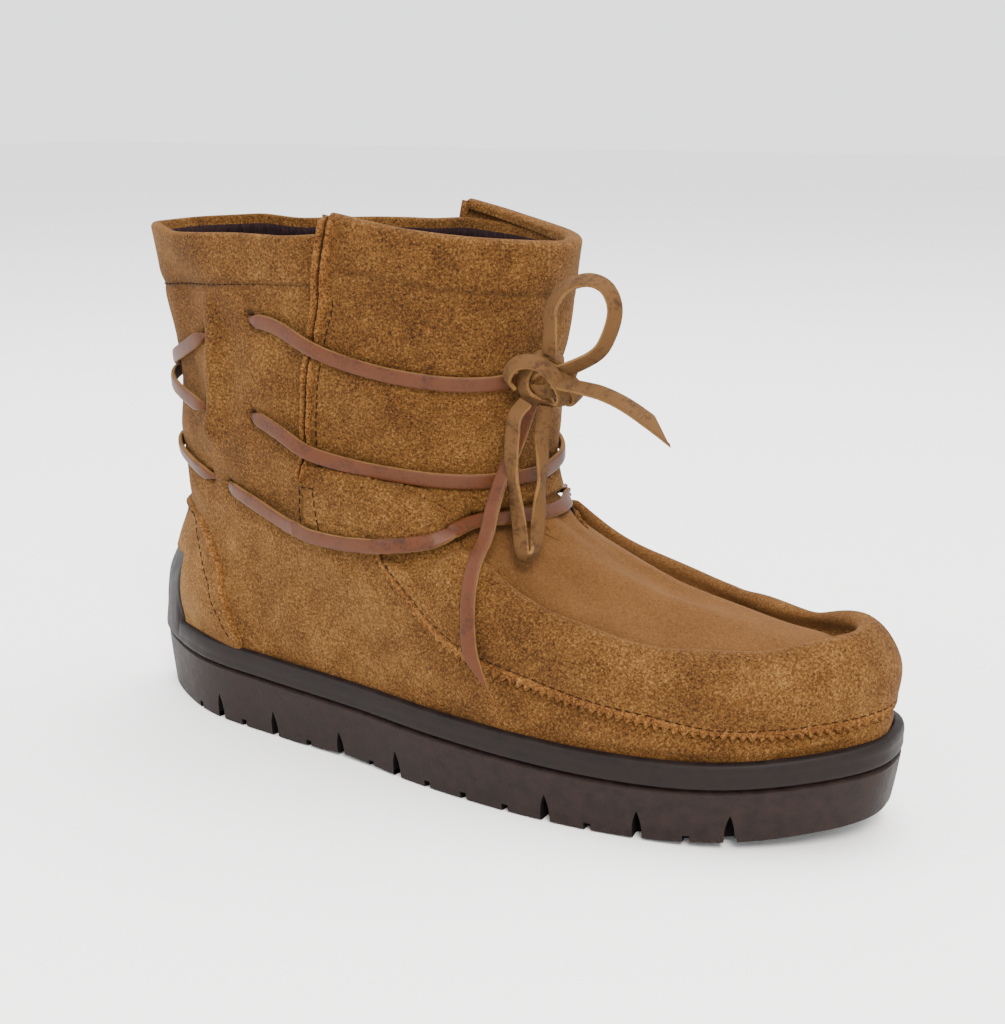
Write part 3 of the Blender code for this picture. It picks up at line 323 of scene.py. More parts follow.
vampFolds = (
    (((0.470, 8.75), (0.478, 8.25), (0.470, 7.75)), 0.0050, 0.0010),
    (((0.532, 8.75), (0.526, 8.30)), 0.0050, 0.0009),
    (((0.500, 8.80), (0.500, 8.10)), 0.0040, -0.0009),
    (((0.420, 8.30), (0.440, 7.60)), 0.0060, -0.0008),
    (((0.580, 8.30), (0.560, 7.60)), 0.0060, -0.0008),
    (((0.296, 3.30), (0.300, 4.70)), 0.0050, -0.0006),
    (((0.322, 3.30), (0.318, 4.50)), 0.0045, 0.0004),
    (((0.345, 3.20), (0.350, 4.60)), 0.0045, -0.0006),
    (((0.372, 3.30), (0.368, 4.40)), 0.0045, 0.0004),
    (((0.398, 3.20), (0.404, 4.60)), 0.0048, -0.0007),
    (((0.430, 3.30), (0.436, 4.50)), 0.0050, -0.0005),
    (((0.470, 3.30), (0.474, 4.40)), 0.0050, -0.0005),
    (((0.655, 3.20), (0.650, 4.60)), 0.0050, -0.0006),
    (((0.602, 3.20), (0.596, 4.60)), 0.0050, -0.0006),
    (((0.262, 2.60), (0.246, 3.60)), 0.0060, -0.0007),
    (((0.205, 2.20), (0.190, 4.20)), 0.0090, 0.0007),
    (((0.160, 2.40), (0.150, 4.00)), 0.0070, -0.0006),
    (((0.310, 1.60), (0.330, 2.60)), 0.0060, 0.0004),
    (((0.380, 1.60), (0.392, 2.60)), 0.0060, -0.0004),
)
# Level of the collar's stitch line at turns from the back, higher on the front panel
collarStitch = ((0.0, 10.93), (0.10, 10.98), (0.28, 11.12), (0.295, 11.38), (0.37, 11.22), (0.5, 11.17))
seamPress = {
    "depth": 0.00045,
    "levelSize": 0.017,     # metres up the collar for each level
    # the next two: reach and strength of the painted shade along the collar stitch's hollow
    "shadeReach": 0.0008,
    "dark": 0.35,
    "reach": 0.0011,
    "valleyDepth": 0.0022,
    "valleyReach": 0.17,
    "valleyLevel": 6.03,
    "valleyTurn": 0.262,
    "unevenness": 0.00034,
}
rimDip = {"depth": 0.0022, "turns": (0.10, 0.30, 0.05), "level": 10.8, "rise": 1.2}


def foldRise(turn, level):
    # each fold is a bell over the distance to its line, plus slow sums of sines over the whole
    spots = face(turn, level)
    rise = np.zeros(spots.shape[:-1])
    lines = [(aroundShaft(*np.array(line).T), reach, lift) for line, reach, lift in shaftFolds]
    lines += [(np.array(line).T, reach, lift) for line, reach, lift in vampFolds]
    for (lineTurns, lineLevels), reach, lift in lines:
        ends = face(lineTurns, lineLevels)
        nearest = np.full(rise.shape, 1.0)
        for start, end in zip(ends[:-1], ends[1:]):
            run = end - start
            part = np.clip((spots - start) @ run / (run @ run), 0, 1)
            nearest = np.minimum(nearest, np.linalg.norm(spots - start - part[..., None] * run, axis=-1))
        rise += lift * np.exp(-(nearest / reach) ** 2)
    x, y, z = np.moveaxis(spots, -1, 0)
    waves = np.sin(x * 173 + z * 96) + np.sin(y * 211 - z * 143 + 1.3) + np.sin(x * 97 - y * 131 + z * 187)
    return rise + seamPress["unevenness"] * waves


def stitchLevel(turn):
    return np.interp(fromBack(turn), *np.array(collarStitch).T)


def fromStitch(turn, level):
    # metres from the collar's stitch line, up or down
    return (level - stitchLevel(turn)) * seamPress["levelSize"]


def rimSag(turn, level):
    # the collar dips behind each side seam, most at its rim
    start, end, ease = rimDip["turns"]
    dip = smoothStep((fromBack(turn) - start) / ease) * smoothStep((end - fromBack(turn)) / ease)
    return rimDip["depth"] * dip * smoothStep((level - rimDip["level"]) / rimDip["rise"])


# Painted light and shade on the nap at (turn, level, reach, amount): patches painted paler where light
# falls brighter, as on the quarter and the heel counter, and darker where it falls dimmer, as on the rear
# of the shaft
paintedLightPlaces = (
    (0.195, 2.2, 0.030, 0.055), (0.235, 2.8, 0.022, 0.040), (0.085, 1.9, 0.024, 0.200),
    (0.330, 10.0, 0.024, -0.040), (0.380, 11.6, 0.020, -0.030), (0.170, 11.7, 0.022, -0.040),
    (0.120, 10.6, 0.016, -0.060), (0.250, 10.6, 0.014, 0.040), (0.420, 9.6, 0.014, 0.040),
    (0.345, 9.4, 0.011, 0.045), (0.180, 8.6, 0.018, -0.050), (0.330, 4.0, 0.016, 0.045),
    (0.400, 3.8, 0.016, 0.040), (0.450, 3.4, 0.013, 0.050), (0.280, 3.7, 0.014, -0.045),
    (0.365, 4.4, 0.012, -0.040), (0.300, 1.8, 0.020, -0.030), (0.370, 1.7, 0.018, -0.030),
    (0.140, 4.0, 0.018, 0.045), (0.690, 10.2, 0.024, 0.040), (0.760, 9.6, 0.022, -0.040),
    (0.850, 10.4, 0.020, 0.040), (0.940, 10.8, 0.018, -0.040), (0.780, 2.6, 0.028, 0.050),
    (0.640, 3.8, 0.018, 0.040), (0.560, 3.6, 0.016, -0.035),
)


def paintedLightTone(turn, level):
    spots = face(turn, level)
    tone = np.zeros(spots.shape[:-1])
    for atTurn, atLevel, reach, amount in paintedLightPlaces:
        apart = np.linalg.norm(spots - face(atTurn, atLevel), axis=-1)
        tone += amount * np.exp(-(apart / reach) ** 2)
    return tone


def stitchPress(turn, level):
    # narrow hollow along the collar stitch, and the crease where the apron dives under the rim
    nearSide = smoothStep((fromBack(turn) - seamPress["valleyTurn"]) / 0.02)
    collar = np.exp(-(fromStitch(turn, level) / seamPress["reach"]) ** 2)
    valley = np.exp(-((level - seamPress["valleyLevel"]) / seamPress["valleyReach"]) ** 2) * nearSide
    return -seamPress["depth"] * collar - seamPress["valleyDepth"] * valley


def suedeSkin(turn, level, offset, folds=1.0):
    # point at an offset outside the outer face, riding on its folds
    turn, level, offset = np.broadcast_arrays(np.asarray(turn, float), np.asarray(level, float), offset)
    lift = offset + folds * foldRise(turn, level)
    skin = face(turn, level) + outward(turn, level) * lift[..., None]
    skin[..., 2] -= rimSag(turn, level)
    return skin


def makePiece(name, points, faceSets, finishes, finishOf=None, crisp=None):
    # one closed mesh, its faces turned outwards by the sign of its volume
    points = np.asarray(points, float).reshape(-1, 3)
    volume = 0.0
    for faces in faceSets:
        for corner in range(1, faces.shape[1] - 1):
            first, second, third = (points[faces[:, number]] for number in (0, corner, corner + 1))
            volume += np.einsum("ij,ij->i", first, np.cross(second, third)).sum()
    if volume < 0:
        faceSets = [faces[:, ::-1] for faces in faceSets]
    mesh = bpy.data.meshes.new(name)
    mesh.from_pydata(points.tolist(), [], [polygon for faces in faceSets for polygon in faces.tolist()])
    for finish in finishes:
        mesh.materials.append(finish)
    if finishOf is not None:
        mesh.polygons.foreach_set("material_index", np.asarray(finishOf, np.int32))
    mesh.shade_smooth()
    if crisp:
        mesh.set_sharp_from_angle(angle=math.radians(crisp))
    mesh.validate()
    piece = bpy.data.objects.new(name, mesh)
    bpy.context.scene.collection.objects.link(piece)
    return piece


def gridFaces(rows, columns, wrapRows=False, wrapColumns=False, first=0):
    # quads between neighbouring rows and columns of a numbered grid
    number = first + np.arange(rows * columns).reshape(rows, columns)
    if wrapRows:
        number = np.vstack([number, number[:1]])
    if wrapColumns:
        number = np.hstack([number, number[:, :1]])
    return np.stack([number[:-1, :-1], number[:-1, 1:], number[1:, 1:], number[1:, :-1]], -1).reshape(-1, 4)


def endCaps(rows, columns):
    # the first and the last ring of a tube, each closed with one face
    ring = np.arange(columns)
    return np.stack([ring, (rows - 1) * columns + ring[::-1]])


def sideCaps(rows, columns):
    # the first and the last column of a strip that closes on itself, each with one face
    start = np.arange(rows) * columns
    return np.stack([start[::-1], start + columns - 1])


def addFloat(piece, name, values):
    # a number for each point in turn, nought for the points after those given
    layer = piece.data.attributes.new(name, "FLOAT", "POINT")
    whole = np.zeros(len(piece.data.vertices), np.float32)
    whole[:values.size] = values.ravel()
    layer.data.foreach_set("value", whole)


def finishPiece(piece, nodes=()):
    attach(piece, "root")
    if nodes:
        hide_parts(*nodes)
    return piece


def capAcross(ring, first, ringFirst, samples, shaping):
    # lines from each point of a ring to its partner on the other side, their inner points shaped
    half = len(ring) // 2
    near = ring[1:half]
    far = ring[:half:-1]
    part = np.linspace(0, 1, samples + 1)[1:-1]
    inner = near[:, None] * (1 - part[None, :, None]) + far[:, None] * part[None, :, None]
    inner = shaping(inner, part)
    number = np.empty((half - 1, samples + 1), int)
    number[:, 0] = ringFirst + np.arange(1, half)
    number[:, -1] = ringFirst + len(ring) - np.arange(1, half)
    number[:, 1:-1] = first + np.arange((half - 1) * (samples - 1)).reshape(half - 1, samples - 1)
    quads = np.stack([number[:-1, :-1], number[1:, :-1], number[1:, 1:], number[:-1, 1:]], -1)
    quads = quads.reshape(-1, 4)
    back = np.stack([np.full(samples, ringFirst), number[0, :-1], number[0, 1:]], -1)
    front = np.stack([np.full(samples, ringFirst + half), number[-1, 1:], number[-1, :-1]], -1)
    return inner.reshape(-1, 3), [quads, back, front]


# Camera, as the photograph was taken
def placeCamera():
    made = bpy.data.cameras.new("photoCamera")
    made.sensor_fit = "VERTICAL"
    made.sensor_width = 36
    made.sensor_height = 36
    made.lens = cameraView["lens"]
    camera = bpy.data.objects.new("photoCamera", made)
    bpy.context.scene.collection.objects.link(camera)
    camera.location = cameraView["place"]
    aim = Vector(cameraView["target"]) - camera.location
    camera.rotation_euler = aim.to_track_quat("-Z", "Y").to_euler()
    bpy.context.scene.camera = camera


placeCamera()
print("stage: camera placed")


# Finishes
def linear(code):
    # sRGB hex to linear red, green, blue and alpha
    parts = [int(code[start:start + 2], 16) / 255 for start in (1, 3, 5)]
    return tuple(part / 12.92 if part <= 0.04045 else ((part + 0.055) / 1.055) ** 2.4
                 for part in parts) + (1.0,)


def addNode(tree, kind, settings, inputs):
    node = tree.nodes.new(kind)
    for name, value in settings.items():
        setattr(node, name, value)
    for key, value in inputs.items():
        if isinstance(value, bpy.types.NodeSocket):
            tree.links.new(value, node.inputs[key])
        else:
            node.inputs[key].default_value = value
    return node


def setStops(ramp, stops):
    # a colour ramp's stops as (place, hex colour)
    elements = ramp.color_ramp.elements
    while len(elements) < len(stops):
        elements.new(0.5)
    for element, (place, code) in zip(elements, stops):
        element.position = place
        element.color = linear(code)


def startFinish(name, roughness):
    made = bpy.data.materials.new(name)
    made.use_nodes = True
    tree = made.node_tree
    shader = tree.nodes["Principled BSDF"]
    shader.inputs["Roughness"].default_value = roughness
    shader.inputs["IOR"].default_value = 1.45
    place = addNode(tree, "ShaderNodeTexCoord", {}, {}).outputs["Object"]
    return made, tree, shader, place


suedeLook = {
    "grain": 0.00075,     # clumps of nap, metres across, a little coarser than real to show
    "speck": 0.0004,
    "blotch": 0.011,      # places where the nap was brushed another way
    "napDepth": 0.0005,
    "stops": ((0.26, "#1f0f03"), (0.42, "#3c240b"), (0.57, "#523515"), (0.76, "#6c502c")),
    "apronStops": ((0.24, "#321c0a"), (0.44, "#4b2f16"), (0.60, "#593c1f"), (0.78, "#674b2c")),
    "edgeStops": ((0.28, "#2c1505"), (0.44, "#4c2d12"), (0.58, "#65421d"), (0.76, "#7c5a32")),
}


def nappedSuede(name, stops, depthShare=1.0, sheen=0.12):
    # split cowhide, sanded to a nap: matt, mottled in clumps of fibre, with painted light and shade added
    # to its tone in patches and near-black painted shade mixed in at hollows and seams
    made, tree, shader, place = startFinish(name, 0.95)
    grain = addNode(tree, "ShaderNodeTexNoise", {}, {
        "Vector": place, "Scale": 1 / suedeLook["grain"], "Detail": 3.0, "Roughness": 0.62,
        "Distortion": 0.6})
    speck = addNode(tree, "ShaderNodeTexNoise", {}, {
        "Vector": place, "Scale": 1 / suedeLook["speck"], "Detail": 2.0, "Roughness": 0.6})
    blotch = addNode(tree, "ShaderNodeTexNoise", {}, {
        "Vector": place, "Scale": 1 / suedeLook["blotch"], "Detail": 3.0, "Roughness": 0.55})
    clumps = addNode(tree, "ShaderNodeMath", {"operation": "MULTIPLY_ADD"}, {
        0: speck.outputs["Fac"], 1: 0.45, 2: grain.outputs["Fac"]})
    tone = addNode(tree, "ShaderNodeMath", {"operation": "MULTIPLY_ADD"}, {
        0: blotch.outputs["Fac"], 1: 0.32, 2: clumps.outputs["Value"]})
    # painted light and shade: a tone added to the nap at each point, paler where light falls brighter and
    # darker where it falls dimmer
    painted_light_shade = addNode(tree, "ShaderNodeAttribute", {"attribute_name": "painted_light_shade"}, {}).outputs["Fac"]
    level = addNode(tree, "ShaderNodeMath", {"operation": "ADD"}, {0: tone.outputs["Value"], 1: painted_light_shade})
    centred = addNode(tree, "ShaderNodeMath", {"operation": "SUBTRACT"}, {
        0: level.outputs["Value"], 1: 0.385})
    ramp = addNode(tree, "ShaderNodeValToRGB", {}, {"Fac": centred.outputs["Value"]})
    setStops(ramp, stops)
    smooth = addNode(tree, "ShaderNodeAttribute", {"attribute_name": "smoothNap"}, {}).outputs["Fac"]
    calm = addNode(tree, "ShaderNodeMapRange", {}, {
        "Value": centred.outputs["Value"], "From Min": 0.2, "From Max": 0.8,
        "To Min": 0.36, "To Max": 0.66})
    apron = addNode(tree, "ShaderNodeValToRGB", {}, {"Fac": calm.outputs["Result"]})
    setStops(apron, suedeLook["apronStops"])
    colour = addNode(tree, "ShaderNodeMix", {"data_type": "RGBA"}, {
        0: smooth, 6: ramp.outputs["Color"], 7: apron.outputs["Color"]})
    # painted shade: mixes the colour towards near-black #120802 in the slit hollows, along the collar
    # stitch, in the seam fins' groove and where the rim band tucks under the apron
    shade = addNode(tree, "ShaderNodeAttribute", {"attribute_name": "painted_shade"}, {}).outputs["Fac"]
    paintedShadeMix = addNode(tree, "ShaderNodeMix", {"data_type": "RGBA"}, {
        0: shade, 6: colour.outputs[2], 7: linear("#120802")})
    relief = addNode(tree, "ShaderNodeBump", {}, {
        "Height": clumps.outputs["Value"], "Strength": 0.75,
        "Distance": suedeLook["napDepth"] * depthShare})
    tree.links.new(paintedShadeMix.outputs[2], shader.inputs["Base Color"])
    tree.links.new(relief.outputs["Normal"], shader.inputs["Normal"])
    shader.inputs["Specular IOR Level"].default_value = 0.15
    shader.inputs["Sheen Weight"].default_value = sheen
    shader.inputs["Sheen Roughness"].default_value = 0.45
    shader.inputs["Sheen Tint"].default_value = linear("#c9955a")
    return made


laceLook = {"grain": 0.0009, "streak": 0.006, "depth": 0.00012}


def laceLeather(name, dark, light, roughness, coarse):
    # lace leather, drum dyed: the grain side is waxed and satin, the flesh side and cut edges fibrous
    made, tree, shader, place = startFinish(name, roughness)
    grain = addNode(tree, "ShaderNodeTexNoise", {}, {
        "Vector": place, "Scale": 1 / (laceLook["grain"] * coarse), "Detail": 4.0, "Roughness": 0.6})
    streak = addNode(tree, "ShaderNodeTexNoise", {}, {
        "Vector": place, "Scale": 1 / laceLook["streak"], "Detail": 2.0, "Roughness": 0.5})
    both = addNode(tree, "ShaderNodeMath", {"operation": "ADD"}, {
        0: grain.outputs["Fac"], 1: streak.outputs["Fac"]})
    ramp = addNode(tree, "ShaderNodeValToRGB", {}, {"Fac": both.outputs["Value"]})
    setStops(ramp, ((0.70, dark), (1.0, light)))
    relief = addNode(tree, "ShaderNodeBump", {}, {
        "Height": grain.outputs["Fac"], "Strength": 0.5, "Distance": laceLook["depth"] * coarse})
    tree.links.new(ramp.outputs["Color"], shader.inputs["Base Color"])
    tree.links.new(relief.outputs["Normal"], shader.inputs["Normal"])
    shader.inputs["Specular IOR Level"].default_value = 0.25
    return made


rubberLook = {"grain": 0.0013, "depth": 0.00022, "dust": 0.004}


def mouldedRubber(name, dark, light, roughness, depthShare):
    # thermoplastic rubber, moulded in a grained tool: dull satin with a fine leather-like pebble
    made, tree, shader, place = startFinish(name, roughness)
    pebble = addNode(tree, "ShaderNodeTexVoronoi", {"feature": "DISTANCE_TO_EDGE"}, {
        "Vector": place, "Scale": 1 / rubberLook["grain"]})
    lines = addNode(tree, "ShaderNodeMath", {"operation": "MINIMUM"}, {
        0: pebble.outputs["Distance"], 1: 0.22})
    cloud = addNode(tree, "ShaderNodeTexNoise", {}, {
        "Vector": place, "Scale": 1 / rubberLook["dust"], "Detail": 5.0, "Roughness": 0.62})
    ramp = addNode(tree, "ShaderNodeValToRGB", {}, {"Fac": cloud.outputs["Fac"]})
    setStops(ramp, ((0.36, dark), (0.66, light)))
    sheenMap = addNode(tree, "ShaderNodeMapRange", {}, {
        "Value": cloud.outputs["Fac"], "From Min": 0.3, "From Max": 0.7,
        "To Min": roughness - 0.07, "To Max": roughness + 0.08})
    relief = addNode(tree, "ShaderNodeBump", {}, {
        "Height": lines.outputs["Value"], "Strength": 0.8 * depthShare, "Distance": rubberLook["depth"]})
    tree.links.new(ramp.outputs["Color"], shader.inputs["Base Color"])
    tree.links.new(sheenMap.outputs["Result"], shader.inputs["Roughness"])
    shader.inputs["Specular IOR Level"].default_value = 0.16
    tree.links.new(relief.outputs["Normal"], shader.inputs["Normal"])
    return made


liningLook = {"thread": 0.0006, "depth": 0.0002}


def wovenTextile(name, dark, light):
    # polyester lining and sock cloth, woven: matt, with fine upright ribs
    made, tree, shader, place = startFinish(name, 0.9)
    turned = addNode(tree, "ShaderNodeMapping", {}, {"Vector": place, "Scale": (1.0, 1.0, 0.25)})
    rib = addNode(tree, "ShaderNodeTexNoise", {}, {
        "Vector": turned.outputs["Vector"], "Scale": 1 / liningLook["thread"], "Detail": 2.0})
    ramp = addNode(tree, "ShaderNodeValToRGB", {}, {"Fac": rib.outputs["Fac"]})
    setStops(ramp, ((0.34, dark), (0.66, light)))
    relief = addNode(tree, "ShaderNodeBump", {}, {
        "Height": rib.outputs["Fac"], "Strength": 0.6, "Distance": liningLook["depth"]})
    tree.links.new(ramp.outputs["Color"], shader.inputs["Base Color"])
    tree.links.new(relief.outputs["Normal"], shader.inputs["Normal"])
    shader.inputs["Specular IOR Level"].default_value = 0.1
    return made


tanSuede = nappedSuede("cowhide_suede_brushed_nap", suedeLook["stops"])
rawSuede = nappedSuede("cowhide_suede_raw_cut_edge", suedeLook["edgeStops"], 1.4, 0.08)
laceGrain = laceLeather("lace_leather_waxed_grain_side", "#2d1202", "#421f05", 0.50, 1.0)
laceFlesh = laceLeather("lace_leather_napped_flesh_side", "#311c09", "#4b3216", 0.85, 1.3)
laceEdge = laceLeather("lace_leather_cut_edge", "#4b3014", "#664825", 0.85, 1.1)
soleWall = mouldedRubber("rubber_moulded_grained_wall", "#140c0a", "#211613", 0.60, 1.0)
soleLip = mouldedRubber("rubber_moulded_smooth_lip", "#0f0908", "#18100e", 0.58, 0.25)
liningCloth = wovenTextile("polyester_lining_woven", "#0b0506", "#1d0f11")
sockCloth = wovenTextile("polyester_sock_woven", "#0f0807", "#201512")
# painted shade: near-black rubber put on the notches' and channels' cut faces in place of the shade deep
# inside them
notchPaintedShade = mouldedRubber("rubber_painted_notch_shade", "#040303", "#070505", 0.9, 0.5)
darkThread = wovenTextile("polyester_thread_twisted", "#120a04", "#2a1a0b")
print("stage: finishes made")


# Lace: its free loops and ends first
lace = {
    "width": 0.0046,
    "thickness": 0.0018,
    "step": 0.0008,
    "corner": 5.0,
    "tipLength": 0.011,
    "knotCentre": (0.0283, -0.0174, 0.1298),
    "knotSize": (0.0100, 0.0060, 0.0080),
    "knotTurn": math.radians(52),
    "knotClearance": 0.0009,
    "pinch": 0.35,          # share of the width left where it goes in through a slit
    "pinchStart": 0.0030,
    "pinchRun": 0.0060,
}
loopUpperPoints = ((0.0330, -0.0205, 0.1405), (0.0325, -0.0210, 0.1460), (0.0335, -0.0220, 0.1515),
                   (0.0385, -0.0235, 0.1575), (0.0465, -0.0250, 0.1603), (0.0530, -0.0260, 0.1585),
                   (0.0558, -0.0262, 0.1525), (0.0535, -0.0255, 0.1445), (0.0485, -0.0240, 0.1385),
                   (0.0440, -0.0222, 0.1345))
loopHangingPoints = ((0.0250, -0.0240, 0.1215), (0.0236, -0.0260, 0.1190), (0.0222, -0.0253, 0.1130),
                     (0.0217, -0.0251, 0.1045), (0.0225, -0.0245, 0.0950), (0.0248, -0.0258, 0.0855),
                     (0.0278, -0.0290, 0.0780), (0.0300, -0.0282, 0.0765), (0.0296, -0.0240, 0.0800),
                     (0.0292, -0.0215, 0.0875), (0.0288, -0.0198, 0.0940), (0.0284, -0.0178, 0.1030),
                     (0.0278, -0.0172, 0.1110), (0.0300, -0.0180, 0.1180))
endSidePoints = ((0.0400, -0.0240, 0.1282), (0.0480, -0.0285, 0.1296), (0.0555, -0.0310, 0.1290),
                 (0.0640, -0.0340, 0.1270), (0.0730, -0.0370, 0.1235), (0.0815, -0.0400, 0.1200))
endFrontPoints = ((0.0222, -0.0178, 0.1175), (0.0200, -0.0192, 0.1080), (0.0178, -0.0240, 0.0985),
                  (0.0180, -0.0304, 0.0900), (0.0180, -0.0338, 0.0830), (0.0182, -0.0408, 0.0765),
                  (0.0186, -0.0448, 0.0700), (0.0196, -0.0478, 0.0625), (0.0218, -0.0502, 0.0515),
                  (0.0262, -0.0512, 0.0400))
# Stretches that pass over each other in the knot
knotRoutes = (
    ((0.0200, -0.0215, 0.1268), (0.0197, -0.0243, 0.1302), (0.0235, -0.0248, 0.1345),
     (0.0300, -0.0240, 0.1348), (0.0352, -0.0228, 0.1308), (0.0372, -0.0212, 0.1256),
     (0.0350, -0.0190, 0.1225), (0.0300, -0.0175, 0.1240)),
    ((0.0240, -0.0180, 0.1300), (0.0290, -0.0208, 0.1330), (0.0345, -0.0212, 0.1320),
     (0.0392, -0.0198, 0.1290), (0.0398, -0.0170, 0.1248), (0.0362, -0.0140, 0.1225),
     (0.0310, -0.0135, 0.1240)),
    ((0.0330, -0.0140, 0.1340), (0.0300, -0.0175, 0.1365), (0.0262, -0.0200, 0.1345),
     (0.0236, -0.0215, 0.1290), (0.0250, -0.0205, 0.1240), (0.0300, -0.0165, 0.1215)),
    ((0.0230, -0.0150, 0.1255), (0.0262, -0.0195, 0.1258), (0.0315, -0.0205, 0.1262),
     (0.0365, -0.0180, 0.1300), (0.0370, -0.0145, 0.1335)),
)


def knotExit(point):
    # where a stretch that aims at a point meets the knot's lump, a clearance off it
    away = np.array(point) - lace["knotCentre"]
    away /= np.linalg.norm(away)
    x = away[0] * math.cos(lace["knotTurn"]) + away[1] * math.sin(lace["knotTurn"])
    y = away[1] * math.cos(lace["knotTurn"]) - away[0] * math.sin(lace["knotTurn"])
    reach = 1 / np.linalg.norm(np.array((x, y, away[2])) / lace["knotSize"])
    return tuple(np.array(lace["knotCentre"]) + away * (reach + lace["knotClearance"]))


def laceStrip(name, centres, facing, smoothOut, tip=0, pinched=""):
    # rounded rectangle carried along the centres, its wide face square to the facing vectors
    tangents = np.gradient(centres, axis=0)
    tangents /= np.linalg.norm(tangents, axis=1)[:, None]
    across = np.cross(tangents, facing)
    across /= np.linalg.norm(across, axis=1)[:, None]
    lift = np.cross(across, tangents)
    run = np.concatenate([[0], np.cumsum(np.linalg.norm(np.diff(centres, axis=0), axis=1))])
    width = np.full(len(centres), lace["width"])
    if tip:
        width *= np.clip((run[-1] - run) / lace["tipLength"], 0.06, 1)
    for end, apart in (("start", run), ("end", run[-1] - run)):
        if end in pinched:
            opened = smoothStep((apart - lace["pinchStart"]) / lace["pinchRun"])
            width *= lace["pinch"] + (1 - lace["pinch"]) * opened
    shift = (lace["width"] - width) / 2 * tip
    angles = np.linspace(0, 2 * np.pi, 24, endpoint=False) + np.pi / 24
    wide = np.sign(np.cos(angles)) * np.abs(np.cos(angles)) ** (2 / lace["corner"])
    tall = np.sign(np.sin(angles)) * np.abs(np.sin(angles)) ** (2 / lace["corner"])
    side = wide[None, :, None] * (width / 2)[:, None, None] + shift[:, None, None]
    crown = 1 - 0.12 * wide ** 2
    points = (centres[:, None] + across[:, None] * side
              + lift[:, None] * (tall * crown)[None, :, None] * lace["thickness"] / 2)
    rows, columns = points.shape[:2]
    quads = gridFaces(rows, columns, wrapColumns=True)
    middle = np.roll(tall, -1) + tall
    kind = np.where(middle > 1.5, 0, np.where(middle < -1.5, 1, 2))
    kinds = np.concatenate([np.tile(kind, rows - 1), [2, 2]])
    finishes = (laceGrain, laceFlesh, laceEdge) if smoothOut else (laceFlesh, laceGrain, laceEdge)
    return makePiece(name, points, [quads, endCaps(rows, columns)], finishes, kinds, crisp=50)


def routeLength(points):
    return float(np.linalg.norm(np.diff(points, axis=0), axis=1).sum())


def freeLace(name, points, facing, isLoop=False, smoothOut=False, tip=0):
    # a free stretch from the knot, and back to it where it is a loop
    points = [knotExit(points[0])] + list(points[1:])
    if isLoop:
        points[-1] = knotExit(points[-1])
    rough = evenly(points, 100)
    centres = evenly(points, int(routeLength(rough) / lace["step"]))
    if isLoop:
        middle = centres.mean(axis=0)
        away = centres - middle
        away /= np.linalg.norm(away, axis=1)[:, None]
        facing = away * facing[0] + towardsCamera * facing[1]
    else:
        facing = np.tile(np.array(facing, float), (len(centres), 1))
    piece = laceStrip(name, centres, facing, smoothOut, tip)
    finishPiece(piece, (name,))
    return piece


def buildKnot():
    # each stretch faces away from the knot's middle, so the strips wrap round it
    points = []
    faces = []
    kinds = []
    for number, route in enumerate(knotRoutes):
        centres = evenly(route, 60)
        away = centres - lace["knotCentre"] + towardsCamera * 0.004
        part = laceStrip(f"knotPart{number}", centres, away, False)
        mesh = part.data
        spots = np.empty(len(mesh.vertices) * 3)
        mesh.vertices.foreach_get("co", spots)
        faces += [tuple(index + len(points) for index in polygon.vertices) for polygon in mesh.polygons]
        kinds += [polygon.material_index for polygon in mesh.polygons]
        points += spots.reshape(-1, 3).tolist()
        bpy.data.objects.remove(part, do_unlink=True)
    mesh = bpy.data.meshes.new("laceKnot")
    mesh.from_pydata(points, [], faces)
    for finish in (laceFlesh, laceGrain, laceEdge):
        mesh.materials.append(finish)
    mesh.polygons.foreach_set("material_index", kinds)
    mesh.shade_smooth()
    mesh.set_sharp_from_angle(angle=math.radians(50))
    piece = bpy.data.objects.new("laceKnot", mesh)
    bpy.context.scene.collection.objects.link(piece)
    return finishPiece(piece, ("lace_knot",))


knot = buildKnot()
freeLace("lace_loop_upper", loopUpperPoints, (0.55, 0.85), isLoop=True)
freeLace("lace_loop_hanging", loopHangingPoints, (0.75, 0.65), isLoop=True)
freeLace("lace_end_side", endSidePoints, towardsCamera + (0.0, 0.0, 0.5), tip=1)
freeLace("lace_end_front", endFrontPoints, towardsCamera - rightOfCamera * 0.45, smoothOut=True, tip=-1)
print("stage: free lace and knot made")


